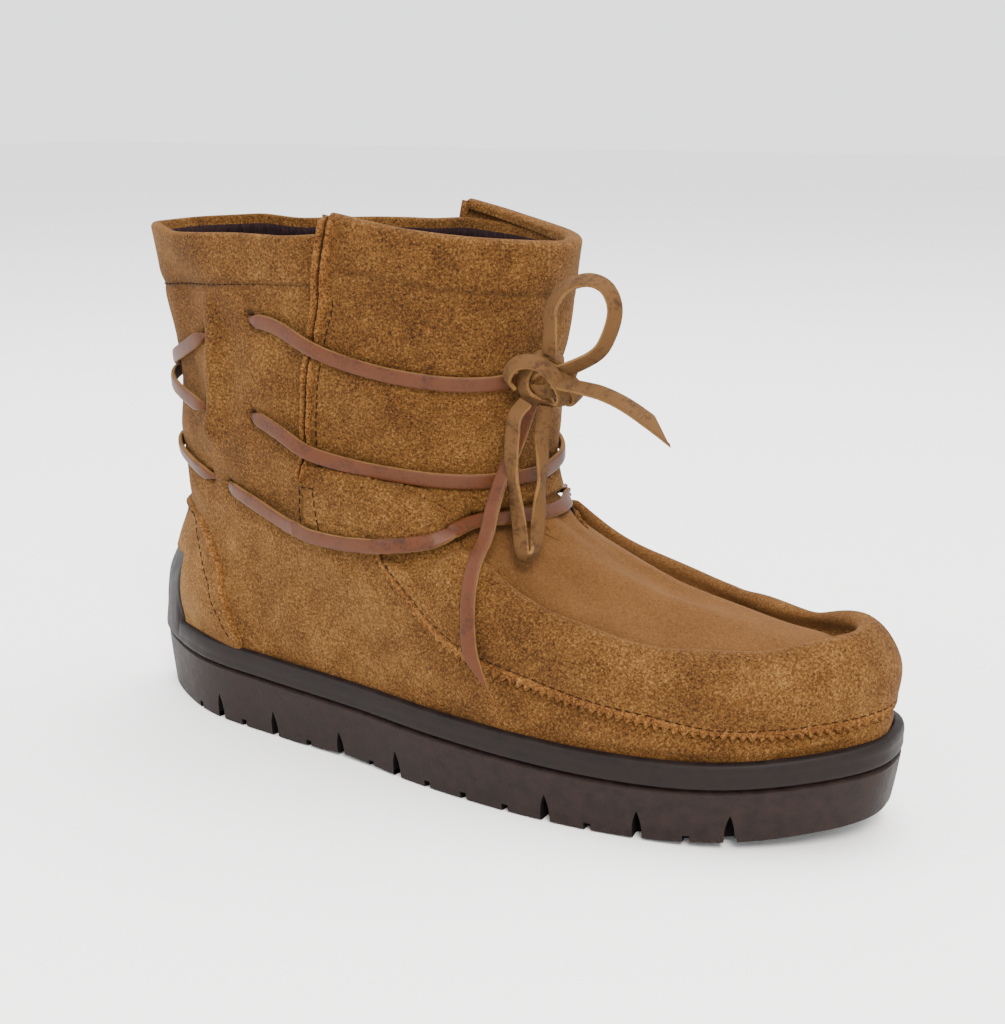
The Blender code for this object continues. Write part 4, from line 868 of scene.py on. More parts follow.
# Lace held against the shaft, as (bearing, height, lift of its middle off the upper)
heldRoutes = {
    "lace_top_lateral": ((66, 0.843, -0.0030), (70, 0.843, -0.0005), (74, 0.842, 0.0010),
                         (82, 0.840, 0.0016),
                         (91, 0.829, 0.0026), (105, 0.804, 0.0042), (120, 0.781, 0.0036),
                         (137, 0.761, 0.0036), (150, 0.750, 0.0036), (160, 0.747, 0.0038),
                         (169, 0.757, 0.0040)),
    "lace_top_medial": ((294, 0.843, -0.0030), (290, 0.843, -0.0005), (286, 0.842, 0.0010),
                        (278, 0.840, 0.0016), (269, 0.829, 0.0026), (255, 0.804, 0.0042),
                        (240, 0.781, 0.0036), (223, 0.761, 0.0036), (210, 0.750, 0.0036),
                        (200, 0.747, 0.0038)),
    "lace_middle": ((63, 0.660, -0.0030), (67, 0.659, -0.0005), (71, 0.657, 0.0010), (79, 0.648, 0.0018),
                    (88, 0.635, 0.0030), (102, 0.609, 0.0048), (119, 0.592, 0.0046), (137, 0.581, 0.0044),
                    (151, 0.571, 0.0046), (163, 0.566, 0.0050), (172, 0.566, 0.0050),
                    (180, 0.574, 0.0048), (188, 0.588, 0.0044), (198, 0.606, 0.0040),
                    (212, 0.622, 0.0038), (228, 0.630, 0.0038), (243, 0.634, 0.0040),
                    (258, 0.638, 0.0046), (272, 0.644, 0.0030), (281, 0.650, 0.0018),
                    (289, 0.656, 0.0010), (293, 0.659, -0.0005), (297, 0.660, -0.0030)),
    "lace_back_low": ((38, 0.508, -0.0030), (35, 0.513, -0.0005), (32, 0.519, 0.0010), (25, 0.535, 0.0014),
                      (14, 0.555, 0.0018), (0, 0.565, 0.0018), (-14, 0.555, 0.0018), (-25, 0.535, 0.0014),
                      (-32, 0.519, 0.0010), (-35, 0.513, -0.0005), (-38, 0.508, -0.0030)),
}
lowHalf = ((42, 0.509, -0.0030), (45.5, 0.507, -0.0005), (49, 0.504, 0.0012), (64, 0.486, 0.0022),
           (82, 0.467, 0.0032), (98, 0.455, 0.0046), (117, 0.450, 0.0046), (129, 0.453, 0.0044),
           (140, 0.462, 0.0042), (151, 0.477, 0.0040), (163, 0.488, 0.0036), (172, 0.487, 0.0034),
           (180, 0.486, 0.0034))
backFalling = ((46, 0.804, -0.0030), (43, 0.800, -0.0005), (40, 0.793, 0.0008), (30, 0.765, 0.0014),
               (18, 0.738, 0.0018), (0, 0.710, 0.0018), (-24, 0.682, 0.0016), (-38, 0.663, 0.0008),
               (-41, 0.661, -0.0005), (-44, 0.659, -0.0030))
heldRoutes["lace_low"] = lowHalf + tuple(reversed(mirrored(lowHalf[:-1], 360)))


def heldLace(name, route, pinched="start end"):
    # a flat strip along places on the shaft, its grain side out
    rough = suedeSkin(*aroundShaft(*evenly(route, 60, True)[:, :2].T), 0.0, 0.0)
    bearing, height, lift = evenly(route, int(routeLength(rough) / lace["step"]), True).T
    turn, level = aroundShaft(bearing, height)
    centres = suedeSkin(turn, level, lift, 0.6)
    kernel = np.ones(9) / 9
    padded = np.pad(centres, ((4, 4), (0, 0)), mode="reflect", reflect_type="odd")
    centres = np.stack([np.convolve(padded[:, axis], kernel, mode="valid") for axis in range(3)], -1)
    return laceStrip(name, centres, outward(turn, level), True, pinched=pinched)


for routeName, route in heldRoutes.items():
    ends = "start" if "top" in routeName else "start end"
    finishPiece(heldLace(routeName, route, ends), (routeName,))
finishPiece(heldLace("lace_back_falling", backFalling), ("lace_back_cross",))
backRising = tuple((-bearing, height, lift + (lace["thickness"] if lift > 0 else 0.0))
                   for bearing, height, lift in backFalling)
finishPiece(heldLace("lace_back_rising", backRising))
print("stage: held lace made")


# Upper: hollow suede wall with a folded collar
upperGrid = {"columns": 360, "rimRows": 9, "innerRows": 72}


def apronShare(turn, level):
    # 1 on the apron inside the rim, 0 elsewhere
    forward = smoothStep((fromBack(turn) - 0.27) / 0.03)
    return forward * smoothStep((level - 5.75) / 0.2) * smoothStep((9.15 - level) / 0.3)


slit = {"across": 0.0015, "tall": 0.0026, "depth": 0.0017}


def slitPress(turn, level):
    # a small hollow where each stretch of lace goes in through its slit
    ends = ((70.0, 0.843), (290.0, 0.843), (67.0, 0.659), (293.0, 0.659), (45.5, 0.507), (-45.5, 0.507),
            (34.5, 0.513), (-34.5, 0.513), (43.0, 0.800), (-43.0, 0.800), (41.0, 0.661), (-41.0, 0.661))
    spots = face(turn, level)
    holes = face(*aroundShaft(*np.array(ends).T))
    hollow = np.zeros(spots.shape[:-1])
    for hole in holes:
        apart = (spots - hole) / np.array((slit["across"], slit["across"], slit["tall"]))
        hollow = np.maximum(hollow, np.exp(-np.einsum("...i,...i", apart, apart)))
    return hollow


def buildUpper():
    turn = np.arange(upperGrid["columns"]) / upperGrid["columns"]
    wall = boot["upperWall"]
    stretches = ((0, 1, 5), (1, 3, 34), (3, 5, 24), (5, 9, 84), (9, 12, 78))
    rows = np.concatenate([np.linspace(*stretch)[:-1] for stretch in stretches] + [[12.0]])
    turns, levels = np.meshgrid(turn, rows)
    hollow = slitPress(turns, levels)
    offset = collarFold(levels) + stitchPress(turns, levels) - slit["depth"] * hollow
    outer = suedeSkin(turns, levels, offset)
    bend = np.linspace(0, np.pi, upperGrid["rimRows"])[1:-1, None]
    middle = (boot["collarFold"] - wall) / 2
    radius = (boot["collarFold"] + wall) / 2
    rim = suedeSkin(*np.broadcast_arrays(turn[None], 12.0 + bend * 0), middle + radius * np.cos(bend))
    rim[..., 2] += radius * np.sin(bend)
    inside = np.linspace(12, 0, upperGrid["innerRows"])
    inner = suedeSkin(*np.meshgrid(turn, inside), -wall)
    for ring in (outer[0], inner[-1]):
        ring[:, 2] = grooveAt(shareOf(turn)) - boot["floorDrop"]
    points = np.concatenate([outer, rim, inner])
    quads = gridFaces(*points.shape[:2], wrapRows=True, wrapColumns=True)
    piece = makePiece("upper_suede", points, [quads], (tanSuede,))
    addFloat(piece, "smoothNap", apronShare(turns, levels))
    # painted shade along the collar stitch's hollow and in the hollow at each lace slit
    stitchPaintedShade = np.exp(-(fromStitch(turns, levels) / seamPress["shadeReach"]) ** 2) * seamPress["dark"]
    addFloat(piece, "painted_shade", np.maximum(np.clip(hollow * 2.2 - 0.35, 0, 1), stitchPaintedShade))
    # painted light and shade in patches on the nap
    addFloat(piece, "painted_light_shade", paintedLightTone(turns, levels))
    return finishPiece(piece, ("upper",))


buildUpper()
print("stage: upper made")

liningGrid = {"columns": 720, "rows": 70, "below": 0.17, "pleat": 0.0046, "pleatDepth": 0.00045,
              "front": 0.0011, "low": 0.0005, "back": 0.0006}


def buildLining():
    # sheet inside the wall: upright pleats as a sine of the run round the collar, fading downwards
    turn = np.arange(liningGrid["columns"]) / liningGrid["columns"]
    loop = face(turn, 12.0)
    run = np.cumsum(np.linalg.norm(loop - np.roll(loop, 1, axis=0), axis=1))
    levels = np.linspace(12 - liningGrid["below"], 0.35, liningGrid["rows"])
    turns, rows = np.meshgrid(turn, levels)
    wander = 1.7 * np.sin(run * 61) + 0.9 * np.sin(rows * 2.3 + run * 30)
    phase = 2 * np.pi * run / liningGrid["pleat"] + wander
    fade = 0.25 + 0.75 * smoothStep((rows - 9.5) / 2.5)
    pleats = liningGrid["pleatDepth"] * np.sin(phase) * fade
    shaft = smoothStep((rows - 9.2) / 0.6)
    stand = boot["upperWall"] + liningGrid["low"] + (liningGrid["front"] - liningGrid["low"]) * shaft
    front = suedeSkin(turns, rows, -stand - pleats * shaft)
    back = suedeSkin(turns[::-1], rows[::-1], -boot["upperWall"] + liningGrid["back"])
    points = np.concatenate([front, back])
    quads = gridFaces(*points.shape[:2], wrapRows=True, wrapColumns=True)
    return finishPiece(makePiece("lining", points, [quads], (liningCloth,)))


buildLining()


def buildFootbed():
    # sock pad: outline of the cup, its edge rounded and its middle slightly hollow
    turn = np.arange(240) / 240
    seat = grooveAt(shareOf(turn)) - boot["floorDrop"]
    rings = []
    for height, inset in ((0.0, 0.0006), (0.0026, 0.0), (0.0036, 0.0006), (0.0041, 0.0020)):
        ring = suedeSkin(turn, 0.0, -boot["upperWall"] - boot["clearance"] - inset, 0.0)
        ring[:, 2] = seat + height
        rings.append(ring)
    points = np.concatenate(rings)
    quads = gridFaces(len(rings), len(turn), wrapColumns=True)

    def hollowed(inner, part):
        inner[..., 2] -= 0.0009 * np.sin(np.pi * part)[None]
        return inner

    below, belowFaces = capAcross(rings[0], len(points), 0, 3, lambda inner, part: inner)
    topFirst = (len(rings) - 1) * len(turn)
    above, aboveFaces = capAcross(rings[-1], len(points) + len(below), topFirst, 16, hollowed)
    faceSets = [quads] + [faces[:, ::-1] for faces in aboveFaces] + belowFaces
    piece = makePiece("sock_pad", np.concatenate([points, below, above]), faceSets, (sockCloth,))
    return finishPiece(piece, ("insole",))


buildFootbed()
print("stage: lining and footbed made")

panelFoot = ((98.0, 0.466), (106.0, 0.452), (116.0, 0.446), (129.0, 0.452), (140.0, 0.466),
             (151.0, 0.488), (164.0, 0.512), (180.0, 0.518))
panelTop = ((112.0, 1.033), (126.0, 1.020), (140.0, 1.006), (158.0, 0.992), (180.0, 0.981))
sideSeamLine = ((98.2, 0.555), (98.0, 0.60), (99.8, 0.70), (103.8, 0.80), (108.5, 0.87),
                (111.2, 0.96), (113.6, 1.038))
panel = {"rows": 130, "columns": 121, "margin": 1.0, "gap": 0.0008, "flare": 0.0012,
         "flareHeight": 0.62, "flareSpan": 0.07, "turnIn": 0.17, "hidden": -0.0010}


def filledGrid(left, right, bottom, top):
    # four edges joined by the sum of the two straight fills less the corners' fill
    up = np.linspace(0, 1, len(left))[:, None, None]
    across = np.linspace(0, 1, len(bottom))[None, :, None]
    sides = left[:, None] * (1 - across) + right[:, None] * across
    ends = bottom[None] * (1 - up) + top[None] * up
    corners = (bottom[0] * (1 - up) * (1 - across) + bottom[-1] * (1 - up) * across
               + top[0] * up * (1 - across) + top[-1] * up * across)
    grid = sides + ends - corners
    return grid[..., 0], grid[..., 1]


def panelFlare(height):
    return panel["flare"] * np.clip((panel["flareHeight"] - height) / panel["flareSpan"], 0, 1)


def buildFrontPanel():
    # suede from seam to seam, folded over the collar and turned in behind it
    half = panel["columns"] // 2 + 1
    foot = evenly(panelFoot, half, True)
    rim = evenly(panelTop, half, True)
    seam = np.array(sideSeamLine)
    rise = np.linspace(foot[0, 1], rim[0, 1], panel["rows"])
    left = np.stack([np.interp(rise, seam[:, 1], seam[:, 0]) + panel["margin"], rise], -1)
    foot[:, 0] += (left[0, 0] - foot[0, 0]) * (180 - foot[:, 0]) / (180 - foot[0, 0])
    rim[:, 0] += (left[-1, 0] - rim[0, 0]) * (180 - rim[:, 0]) / (180 - rim[0, 0])
    bottom = np.concatenate([foot, np.array(mirrored(foot[:-1], 360))[::-1]])
    top = np.concatenate([rim, np.array(mirrored(rim[:-1], 360))[::-1]])
    bearings, rises = filledGrid(left, np.array(mirrored(left, 360)), bottom, top)
    turns, levels = aroundShaft(bearings, rises)
    edge = np.sqrt(np.clip(np.arange(panel["rows"])[:, None] / 2.5, 0, 1))
    offset = panel["gap"] + boot["panelThickness"] * edge + panelFlare(rises) + collarFold(levels)
    outer = suedeSkin(turns, levels, offset + stitchPress(turns, levels))
    topOffset = panel["gap"] + boot["panelThickness"] + boot["collarFold"]
    insideOffset = -boot["upperWall"] - 0.0006
    bend = np.linspace(0, np.pi, 9)[1:-1, None]
    middle, radius = (topOffset + insideOffset) / 2, (topOffset - insideOffset) / 2
    arc = middle + radius * np.cos(bend)
    roll = suedeSkin(turns[-1][None] + bend * 0, levels[-1][None] + bend * 0, arc)
    roll[..., 2] += radius * 0.7 * np.sin(bend)
    downTurns = np.repeat(turns[-1][None], 12, axis=0)
    downLevels = levels[-1][None] - np.linspace(0, panel["turnIn"], 12)[:, None]
    inside = suedeSkin(downTurns, downLevels, insideOffset)
    back = np.concatenate([np.arange(panel["rows"] - 1, 0, -5), [0]])
    hidden = suedeSkin(turns[back], np.minimum(levels[back], downLevels[-1]), panel["hidden"])
    points = np.concatenate([outer, roll, inside, hidden])
    rows, columns = points.shape[:2]
    quads = gridFaces(rows, columns, wrapRows=True)
    piece = makePiece("front_panel", points, [quads, sideCaps(rows, columns)], (tanSuede,))
    # painted shade along the collar stitch's hollow
    stitchPaintedShade = np.exp(-(fromStitch(turns, levels) / seamPress["shadeReach"]) ** 2) * seamPress["dark"]
    addFloat(piece, "painted_shade", stitchPaintedShade)
    # painted light and shade in patches on the nap
    addFloat(piece, "painted_light_shade", paintedLightTone(turns, levels))
    return finishPiece(piece, ("shaft_front",))


buildFrontPanel()
print("stage: front panel made")

seamFin = {"stations": 260, "widthTop": 0.0062, "widthFoot": 0.0038, "height": 0.0034, "gap": 0.0004,
           "rough": 0.10, "laceRows": (0.805, 0.606), "laceReach": 0.022, "lacePress": 0.50}


def rawEdge(run, scale, seed):
    # uneven cut edge: sines whose lengths don't divide each other
    return (np.sin(run / scale * 2.1 + seed) + 0.7 * np.sin(run / scale * 4.7 + seed * 2.3)
            + 0.5 * np.sin(run / scale * 9.1 + seed * 3.1)) / 2.2


def buildSeamFin(name, node, line, seed):
    # two raw lips side by side: rise as 1 - |2|a| - 1| to the power 2.4 over the width a from -1 to 1
    bearing, height = evenly(line, seamFin["stations"], True).T
    turn, level = aroundShaft(bearing, height)
    lift = seamFin["gap"] + panelFlare(height) + collarFold(level)
    base = suedeSkin(turn, level, lift)
    base[:, 2] += np.clip(level - 12.9, 0, 1) * 0.002
    run = np.concatenate([[0], np.cumsum(np.linalg.norm(np.diff(base, axis=0), axis=1))])
    tangents = np.gradient(base, axis=0)
    normals = outward(turn, level)
    across = np.cross(tangents, normals)
    across /= np.linalg.norm(across, axis=1)[:, None]
    share = run / run[-1]
    width = seamFin["widthFoot"] + (seamFin["widthTop"] - seamFin["widthFoot"]) * share
    press = sum(np.exp(-((height - row) / seamFin["laceReach"]) ** 2) for row in seamFin["laceRows"])
    tall = seamFin["height"] * (1 - seamFin["lacePress"] * press)
    ends = np.clip(np.minimum(run, run[-1] - run) / 0.0015, 0.25, 1) ** 0.5
    place = np.linspace(-1, 1, 25)
    lips = 0.36 + 0.64 * (1 - np.abs(2 * np.abs(place) - 1) ** 2.4)
    lips[[0, -1]] = 0.0
    ragged = np.stack([rawEdge(run, 0.0012, seed), rawEdge(run, 0.0012, seed + 4)], 1)
    ragged = 1 + seamFin["rough"] * np.where(place[None] < 0, ragged[:, :1], ragged[:, 1:])
    rise = (tall * ends)[:, None] * lips[None] * ragged
    lean = 0.0005 * np.sin(run / 0.013 + seed)[:, None] * lips[None]
    side = place[None] * (width * ends)[:, None] / 2 + lean
    top = base[:, None] + across[:, None] * side[..., None] + normals[:, None] * rise[..., None]
    sunk = -0.0016
    foot = [base + across * (width / 2 * edge)[:, None] + normals * sunk for edge in (1, -1)]
    points = np.concatenate([top, np.stack(foot, 1)], axis=1)
    rows, columns = points.shape[:2]
    quads = gridFaces(rows, columns, wrapColumns=True)
    piece = makePiece(name, points, [quads, endCaps(rows, columns)], (rawSuede,))
    # painted shade in the groove between the two lips
    groove = np.zeros((rows, columns))
    groove[:, 11:14] = 0.75
    addFloat(piece, "painted_shade", groove)
    return finishPiece(piece, (node,))


buildSeamFin("seam_fin_lateral", "side_seam_lateral", sideSeamLine, 0.4)
buildSeamFin("seam_fin_medial", "side_seam_medial", mirrored(sideSeamLine, 360), 2.1)
print("stage: side seams made")

bandEnd = ((0.222, 3.0), (0.236, 3.75), (0.254, 4.75), (0.269, 5.7), (0.276, 6.15))
band = {"columns": 460, "rows": 64, "gap": 0.0012, "innerLevel": 6.02, "foldStart": 4.9, "fade": 0.012,
        "hidden": -0.0006, "scallop": 0.0027, "ridgeWidth": 0.0033, "ridgeHeight": 0.0019}


def bandTurns(levels):
    # the band's ends follow their edge line, its columns spread evenly between them
    edge = np.array(bandEnd)
    start = np.interp(levels, edge[:, 1], edge[:, 0])[:, None]
    return start + (1 - 2 * start) * np.linspace(0, 1, band["columns"])[None]


def buildRimBand():
    # suede from the moccasin seam up over the rim, its inner edge tucked under the apron's crease
    rows = np.concatenate([np.linspace(3, 3.12, 6)[:-1],
                           np.linspace(3.12, band["innerLevel"], band["rows"])])
    turns = bandTurns(rows)
    levels = np.broadcast_to(rows[:, None], turns.shape)
    low = np.sqrt(np.clip((levels - 3) / 0.10, 0, 1))
    tuck = smoothStep((levels - band["foldStart"]) / (band["innerLevel"] - band["foldStart"]))
    fromEnd = np.minimum(np.arange(band["columns"]), np.arange(band["columns"])[::-1]) / band["columns"]
    ends = smoothStep(fromEnd / band["fade"])[None]
    offset = (band["gap"] + boot["panelThickness"] * low) * (1 - tuck) * ends - 0.0012 * tuck
    roll = 0.0009 * np.exp(-((levels - 4.7) / 0.55) ** 2) * ends
    outer = suedeSkin(turns, levels, offset + roll)
    hidden = suedeSkin(turns[::-4], levels[::-4], np.minimum(band["hidden"], offset[::-4] - 0.0008))
    points = np.concatenate([outer, hidden])
    rows, columns = points.shape[:2]
    quads = gridFaces(rows, columns, wrapRows=True)
    piece = makePiece("rim_band_suede", points, [quads, sideCaps(rows, columns)], (tanSuede,))
    # painted shade where the band's inner edge tucks under the apron's crease
    addFloat(piece, "painted_shade", 0.5 * smoothStep((levels - 5.6) / 0.35))
    addFloat(piece, "smoothNap", smoothStep((levels - 4.9) / 0.5))
    # painted light and shade in patches on the nap
    addFloat(piece, "painted_light_shade", paintedLightTone(turns, levels))
    return finishPiece(piece, ("rim_band",))


def buildSeamEdge():
    # raw edge below the band: its lower line and its stand-off both wave once for each stitch
    edge = np.array(bandEnd)[0, 0]
    rough = face(np.linspace(edge, 1 - edge, 400), 3.0)
    count = int(routeLength(rough) / band["scallop"] * 10)
    turn = np.linspace(edge, 1 - edge, count)
    spots = face(turn, 3.0)
    run = np.concatenate([[0], np.cumsum(np.linalg.norm(np.diff(spots, axis=0), axis=1))])
    phase = 2 * np.pi * run / band["scallop"] + 0.5 * np.sin(run * 90)
    scallop = 0.5 + 0.5 * np.cos(phase)
    perLevel = np.linalg.norm(face(turn, 3.0) - face(turn, 2.5), axis=-1) * 2
    profile = np.array([(-0.30, -0.10), (-0.30, 0.95), (-0.05, 1.15), (0.25, 1.10), (0.55, 1.00),
                        (0.82, 0.85), (1.0, 0.55), (0.96, 0.15), (0.80, -0.10)])
    low = band["ridgeWidth"] * (0.60 + 0.44 * scallop + 0.07 * rawEdge(run, 0.0008, 1.0))
    down = np.where(profile[None, :, 0] > 0, profile[None, :, 0] * low[:, None],
                    profile[None, :, 0] * band["ridgeWidth"])
    wave = 0.22 * scallop - 0.12 + 0.08 * rawEdge(run, 0.0007, 3.0)
    ruffle = 1 + wave[:, None] * (profile[None, :, 0] > 0.1)
    stand = boot["panelThickness"] * 0.3 + profile[None, :, 1] * band["ridgeHeight"] * ruffle
    ends = smoothStep(np.minimum(run, run[-1] - run) / 0.006)[:, None]
    stand = np.where(profile[None, :, 1] > 0, stand * (0.25 + 0.75 * ends), -0.0006)
    levels = 3.0 - down / perLevel[:, None]
    points = suedeSkin(np.broadcast_to(turn[:, None], levels.shape), levels, stand)
    rows, columns = points.shape[:2]
    quads = gridFaces(rows, columns, wrapColumns=True)
    piece = makePiece("moccasin_seam_edge", points, [quads, endCaps(rows, columns)], (rawSuede,))
    return finishPiece(piece, ("moc_seam",))


buildRimBand()
buildSeamEdge()
print("stage: rim band and its seam made")

counterTop = ((-0.150, 1.25), (-0.141, 2.0), (-0.127, 2.5), (-0.092, 3.1), (-0.066, 4.2), (0.0, 4.4),
              (0.066, 4.2), (0.092, 3.1), (0.127, 2.5), (0.141, 2.0), (0.150, 1.25))
counter = {"rows": 60, "columns": 241, "gap": 0.0003, "spread": -0.0100, "hidden": -0.0006, "edge": 0.0011,
           "rawRows": 4}


def counterEdge(turn):
    edge = np.array(counterTop)
    return np.interp(turn, edge[:, 0], edge[:, 1])


def buildCounter():
    # heel piece over the upper, its top edge cut raw and rounded
    turn = np.linspace(counterTop[0][0], counterTop[-1][0], counter["columns"])
    bottom = lipLevel(turn, counter["spread"]) - 0.15
    top = np.maximum(counterEdge(turn), bottom + 0.1)
    part = np.linspace(0, 1, counter["rows"])[:, None] ** 0.8
    turns = np.broadcast_to(turn, (counter["rows"], len(turn)))
    levels = bottom * (1 - part) + top * part
    fromTop = np.linalg.norm(face(turns, levels) - face(turns, np.broadcast_to(top, levels.shape)), axis=-1)
    endTurns = np.where(turns < 0, turn[0], turn[-1])
    fromEnd = np.linalg.norm(face(turns, levels) - face(endTurns, levels), axis=-1)
    near = np.minimum(fromTop, fromEnd)
    offset = counter["gap"] + boot["panelThickness"] * np.sqrt(np.clip(near / counter["edge"], 0, 1))
    outer = suedeSkin(turns, levels, offset)
    hidden = suedeSkin(turns[::-4], levels[::-4], counter["hidden"])
    points = np.concatenate([outer, hidden])
    rows, columns = points.shape[:2]
    quads = gridFaces(rows, columns, wrapRows=True)
    kinds = np.zeros(len(quads) + 2, int)
    rim = len(outer) - counter["rawRows"]
    kinds[rim * (columns - 1):len(outer) * (columns - 1)] = 1
    piece = makePiece("heel_counter_suede", points, [quads, sideCaps(rows, columns)],
                      (tanSuede, rawSuede), kinds)
    # painted light and shade in patches on the nap, palest on the counter
    addFloat(piece, "painted_light_shade", paintedLightTone(turns, levels))
    return finishPiece(piece, ("heel_counter",))


buildCounter()
print("stage: heel counter made")

# Cup sole
notches = (-0.334, -0.238, -0.130, -0.041, 0.164, 0.270, 0.367)
nicks = (-0.381, -0.292, -0.182, -0.082, 0.005, 0.057, 0.113, 0.214, 0.323)
sole = {"columns": 560, "rings": 84, "notchWidth": 0.0030, "notchHeight": 0.0096, "notchDepth": 0.0075,
        "nickWidth": 0.0022, "nickHeight": 0.0027, "nickDepth": 0.0060, "channelDepth": 0.0022,
        "channelWidth": 0.0024, "rib": 0.0068, "ribDepth": 0.0007, "treadBorder": 0.16,
        "tabThinning": 0.72, "tabSpread": -0.014}


def soleKeyRings(turn):
    # rings up the wall, in under the lip, over it and down into the cup, with the inset of each
    share = shareOf(turn)
    groove = grooveAt(share)
    fromArch = np.abs(share - boot["archMiddle"]) / boot["archHalfSpan"]
    hollow = boot["archHollow"] * np.clip(1 - fromArch, 0, 1)
    floor = springAt(share) + hollow

    def wallRing(inset, height):
        x, y = soleOutline(turn, inset)
        return np.stack([x, y, height], -1)

    top = lipLevel(turn, sole["tabSpread"])
    tab = smoothStep((top - levelOf["lip"]) / 0.5)
    lipWall = boot["lipWall"] * (1 - sole["tabThinning"] * tab)
    outside = boot["clearance"] + boot["lipWall"]
    underLip = suedeSkin(turn, 1.0, outside - 0.0003, 0.0)
    underLip[:, 2] = groove + boot["grooveHalf"] * 0.6
    lipFoot = suedeSkin(turn, 1.0, outside + 0.0002, 0.0)
    lipFoot[:, 2] = groove + boot["grooveHalf"] * 1.5
    rings = [wallRing(boot["soleTaper"] + boot["soleEdge"], floor),
             wallRing(boot["soleTaper"] + boot["soleEdge"] * 0.3, floor + boot["soleEdge"] * 0.3),
             wallRing(boot["soleTaper"], floor + boot["soleEdge"]),
             wallRing(boot["soleTaper"] / 2, (floor + groove) / 2),
             wallRing(0.0003, groove - boot["grooveHalf"] * 1.9),
             wallRing(0.0004, groove - boot["grooveHalf"] * 0.9),
             wallRing(boot["grooveDepth"] + 0.0006, groove - 0.0001),
             underLip, lipFoot]
    for part, swell in ((0.25, 0.0002), (0.5, 0.0003), (0.75, 0.0001), (0.93, -0.0004)):
        level = 0.5 + (top - 0.5) * part
        thin = (lipWall - boot["lipWall"]) * smoothStep(part * 1.6)
        rings.append(suedeSkin(turn, level, outside + swell + thin, 0.0))
    rings.append(suedeSkin(turn, top, boot["clearance"] + lipWall * 0.55, 0.0))
    rings.append(suedeSkin(turn, top, boot["clearance"] + lipWall * 0.1, 0.0))
    rings.append(suedeSkin(turn, 0.5 + (top - 0.5) * 0.7, -0.0006, 0.0))
    rings.append(suedeSkin(turn, 1.0, -0.0006, 0.0))
    cupFloor = suedeSkin(turn, 0.0, boot["clearance"], 0.0)
    cupFloor[:, 2] = groove - boot["floorDrop"] - boot["clearance"]
    rings.append(cupFloor)
    return np.array(rings)


def cutterBody(points, faces):
    # a cutter gives every face that it cuts the near-black rubber that stands in for the notch's painted
    # shade
    mesh = bpy.data.meshes.new("soleCutter")
    mesh.from_pydata(points, [], faces)
    for finish in (soleWall, soleLip, notchPaintedShade):
        mesh.materials.append(finish)
    mesh.polygons.foreach_set("material_index", [2] * len(faces))
    return mesh


def cutterMesh(profiles, shares, reach):
    # a prism of each profile let into both side walls, square to the outline
    points = []
    faces = []
    for share in shares:
        for side in (-1, 1):
            middle = math.acos(-2 * share) / (2 * math.pi)
            turn = middle if side < 0 else 1 - middle
            x, y = soleOutline(np.array([turn - 0.002, turn, turn + 0.002]), 0.0)
            along = np.array([x[2] - x[0], y[2] - y[0]])
            along /= np.linalg.norm(along)
            inward = np.array([-along[1], along[0]])
            floor = float(springAt(share + 0.5))
            first = len(points)
            for depth in (-0.004, reach):
                for slide, rise in profiles:
                    spot = np.array([x[1], y[1]]) + along * slide + inward * depth
                    points.append((spot[0], spot[1], floor + rise))
            count = len(profiles)
            faces.append(tuple(range(first, first + count)))
            faces.append(tuple(range(first + count, first + 2 * count))[::-1])
            for index in range(count):
                after = (index + 1) % count
                faces.append((first + index, first + count + index, first + count + after, first + after))
    return cutterBody(points, faces)


def channelMesh():
    # flat bars right across the tread, one for each pair of notches
    points = []
    faces = []
    for share in notches:
        first = len(points)
        floor = float(springAt(share + 0.5))
        for height in (-0.004, sole["channelDepth"]):
            for x, y in ((-1, -1), (1, -1), (1, 1), (-1, 1)):
                points.append((share * boot["outsoleLength"] + x * sole["channelWidth"] / 2,
                               y * boot["ballHalfWidth"] * 1.5, floor + height))
        corners = ((0, 3, 2, 1), (4, 5, 6, 7), (0, 1, 5, 4), (1, 2, 6, 5), (2, 3, 7, 6), (3, 0, 4, 7))
        faces += [tuple(first + index for index in corner) for corner in corners]
    return cutterBody(points, faces)


def cutAway(piece, meshes):
    # take each cutter out of the piece, then keep the result as its own mesh
    tools = []
    for mesh in meshes:
        tool = bpy.data.objects.new("soleCutter", mesh)
        bpy.context.scene.collection.objects.link(tool)
        made = piece.modifiers.new("cut", "BOOLEAN")
        made.operation = "DIFFERENCE"
        made.solver = "EXACT"
        made.object = tool
        tools.append(tool)
    shaped = piece.evaluated_get(bpy.context.evaluated_depsgraph_get())
    result = bpy.data.meshes.new_from_object(shaped)
    piece.modifiers.clear()
    piece.data = result
    for tool in tools:
        bpy.data.objects.remove(tool, do_unlink=True)


def teardrop():
    # straight foot, then sides that draw in to a point
    rise = np.linspace(0.15, 1, 9)
    half = sole["notchWidth"] / 2 * np.cos(np.pi / 2 * ((rise - 0.15) / 0.85) ** 1.4)
    right = [(width, part * sole["notchHeight"]) for width, part in zip(half, rise)]
    left = [(-width, part * sole["notchHeight"]) for width, part in zip(half[-2::-1], rise[-2::-1])]
    below = -sole["notchHeight"]
    return [(-sole["notchWidth"] / 2, below), (sole["notchWidth"] / 2, below)] + right + left


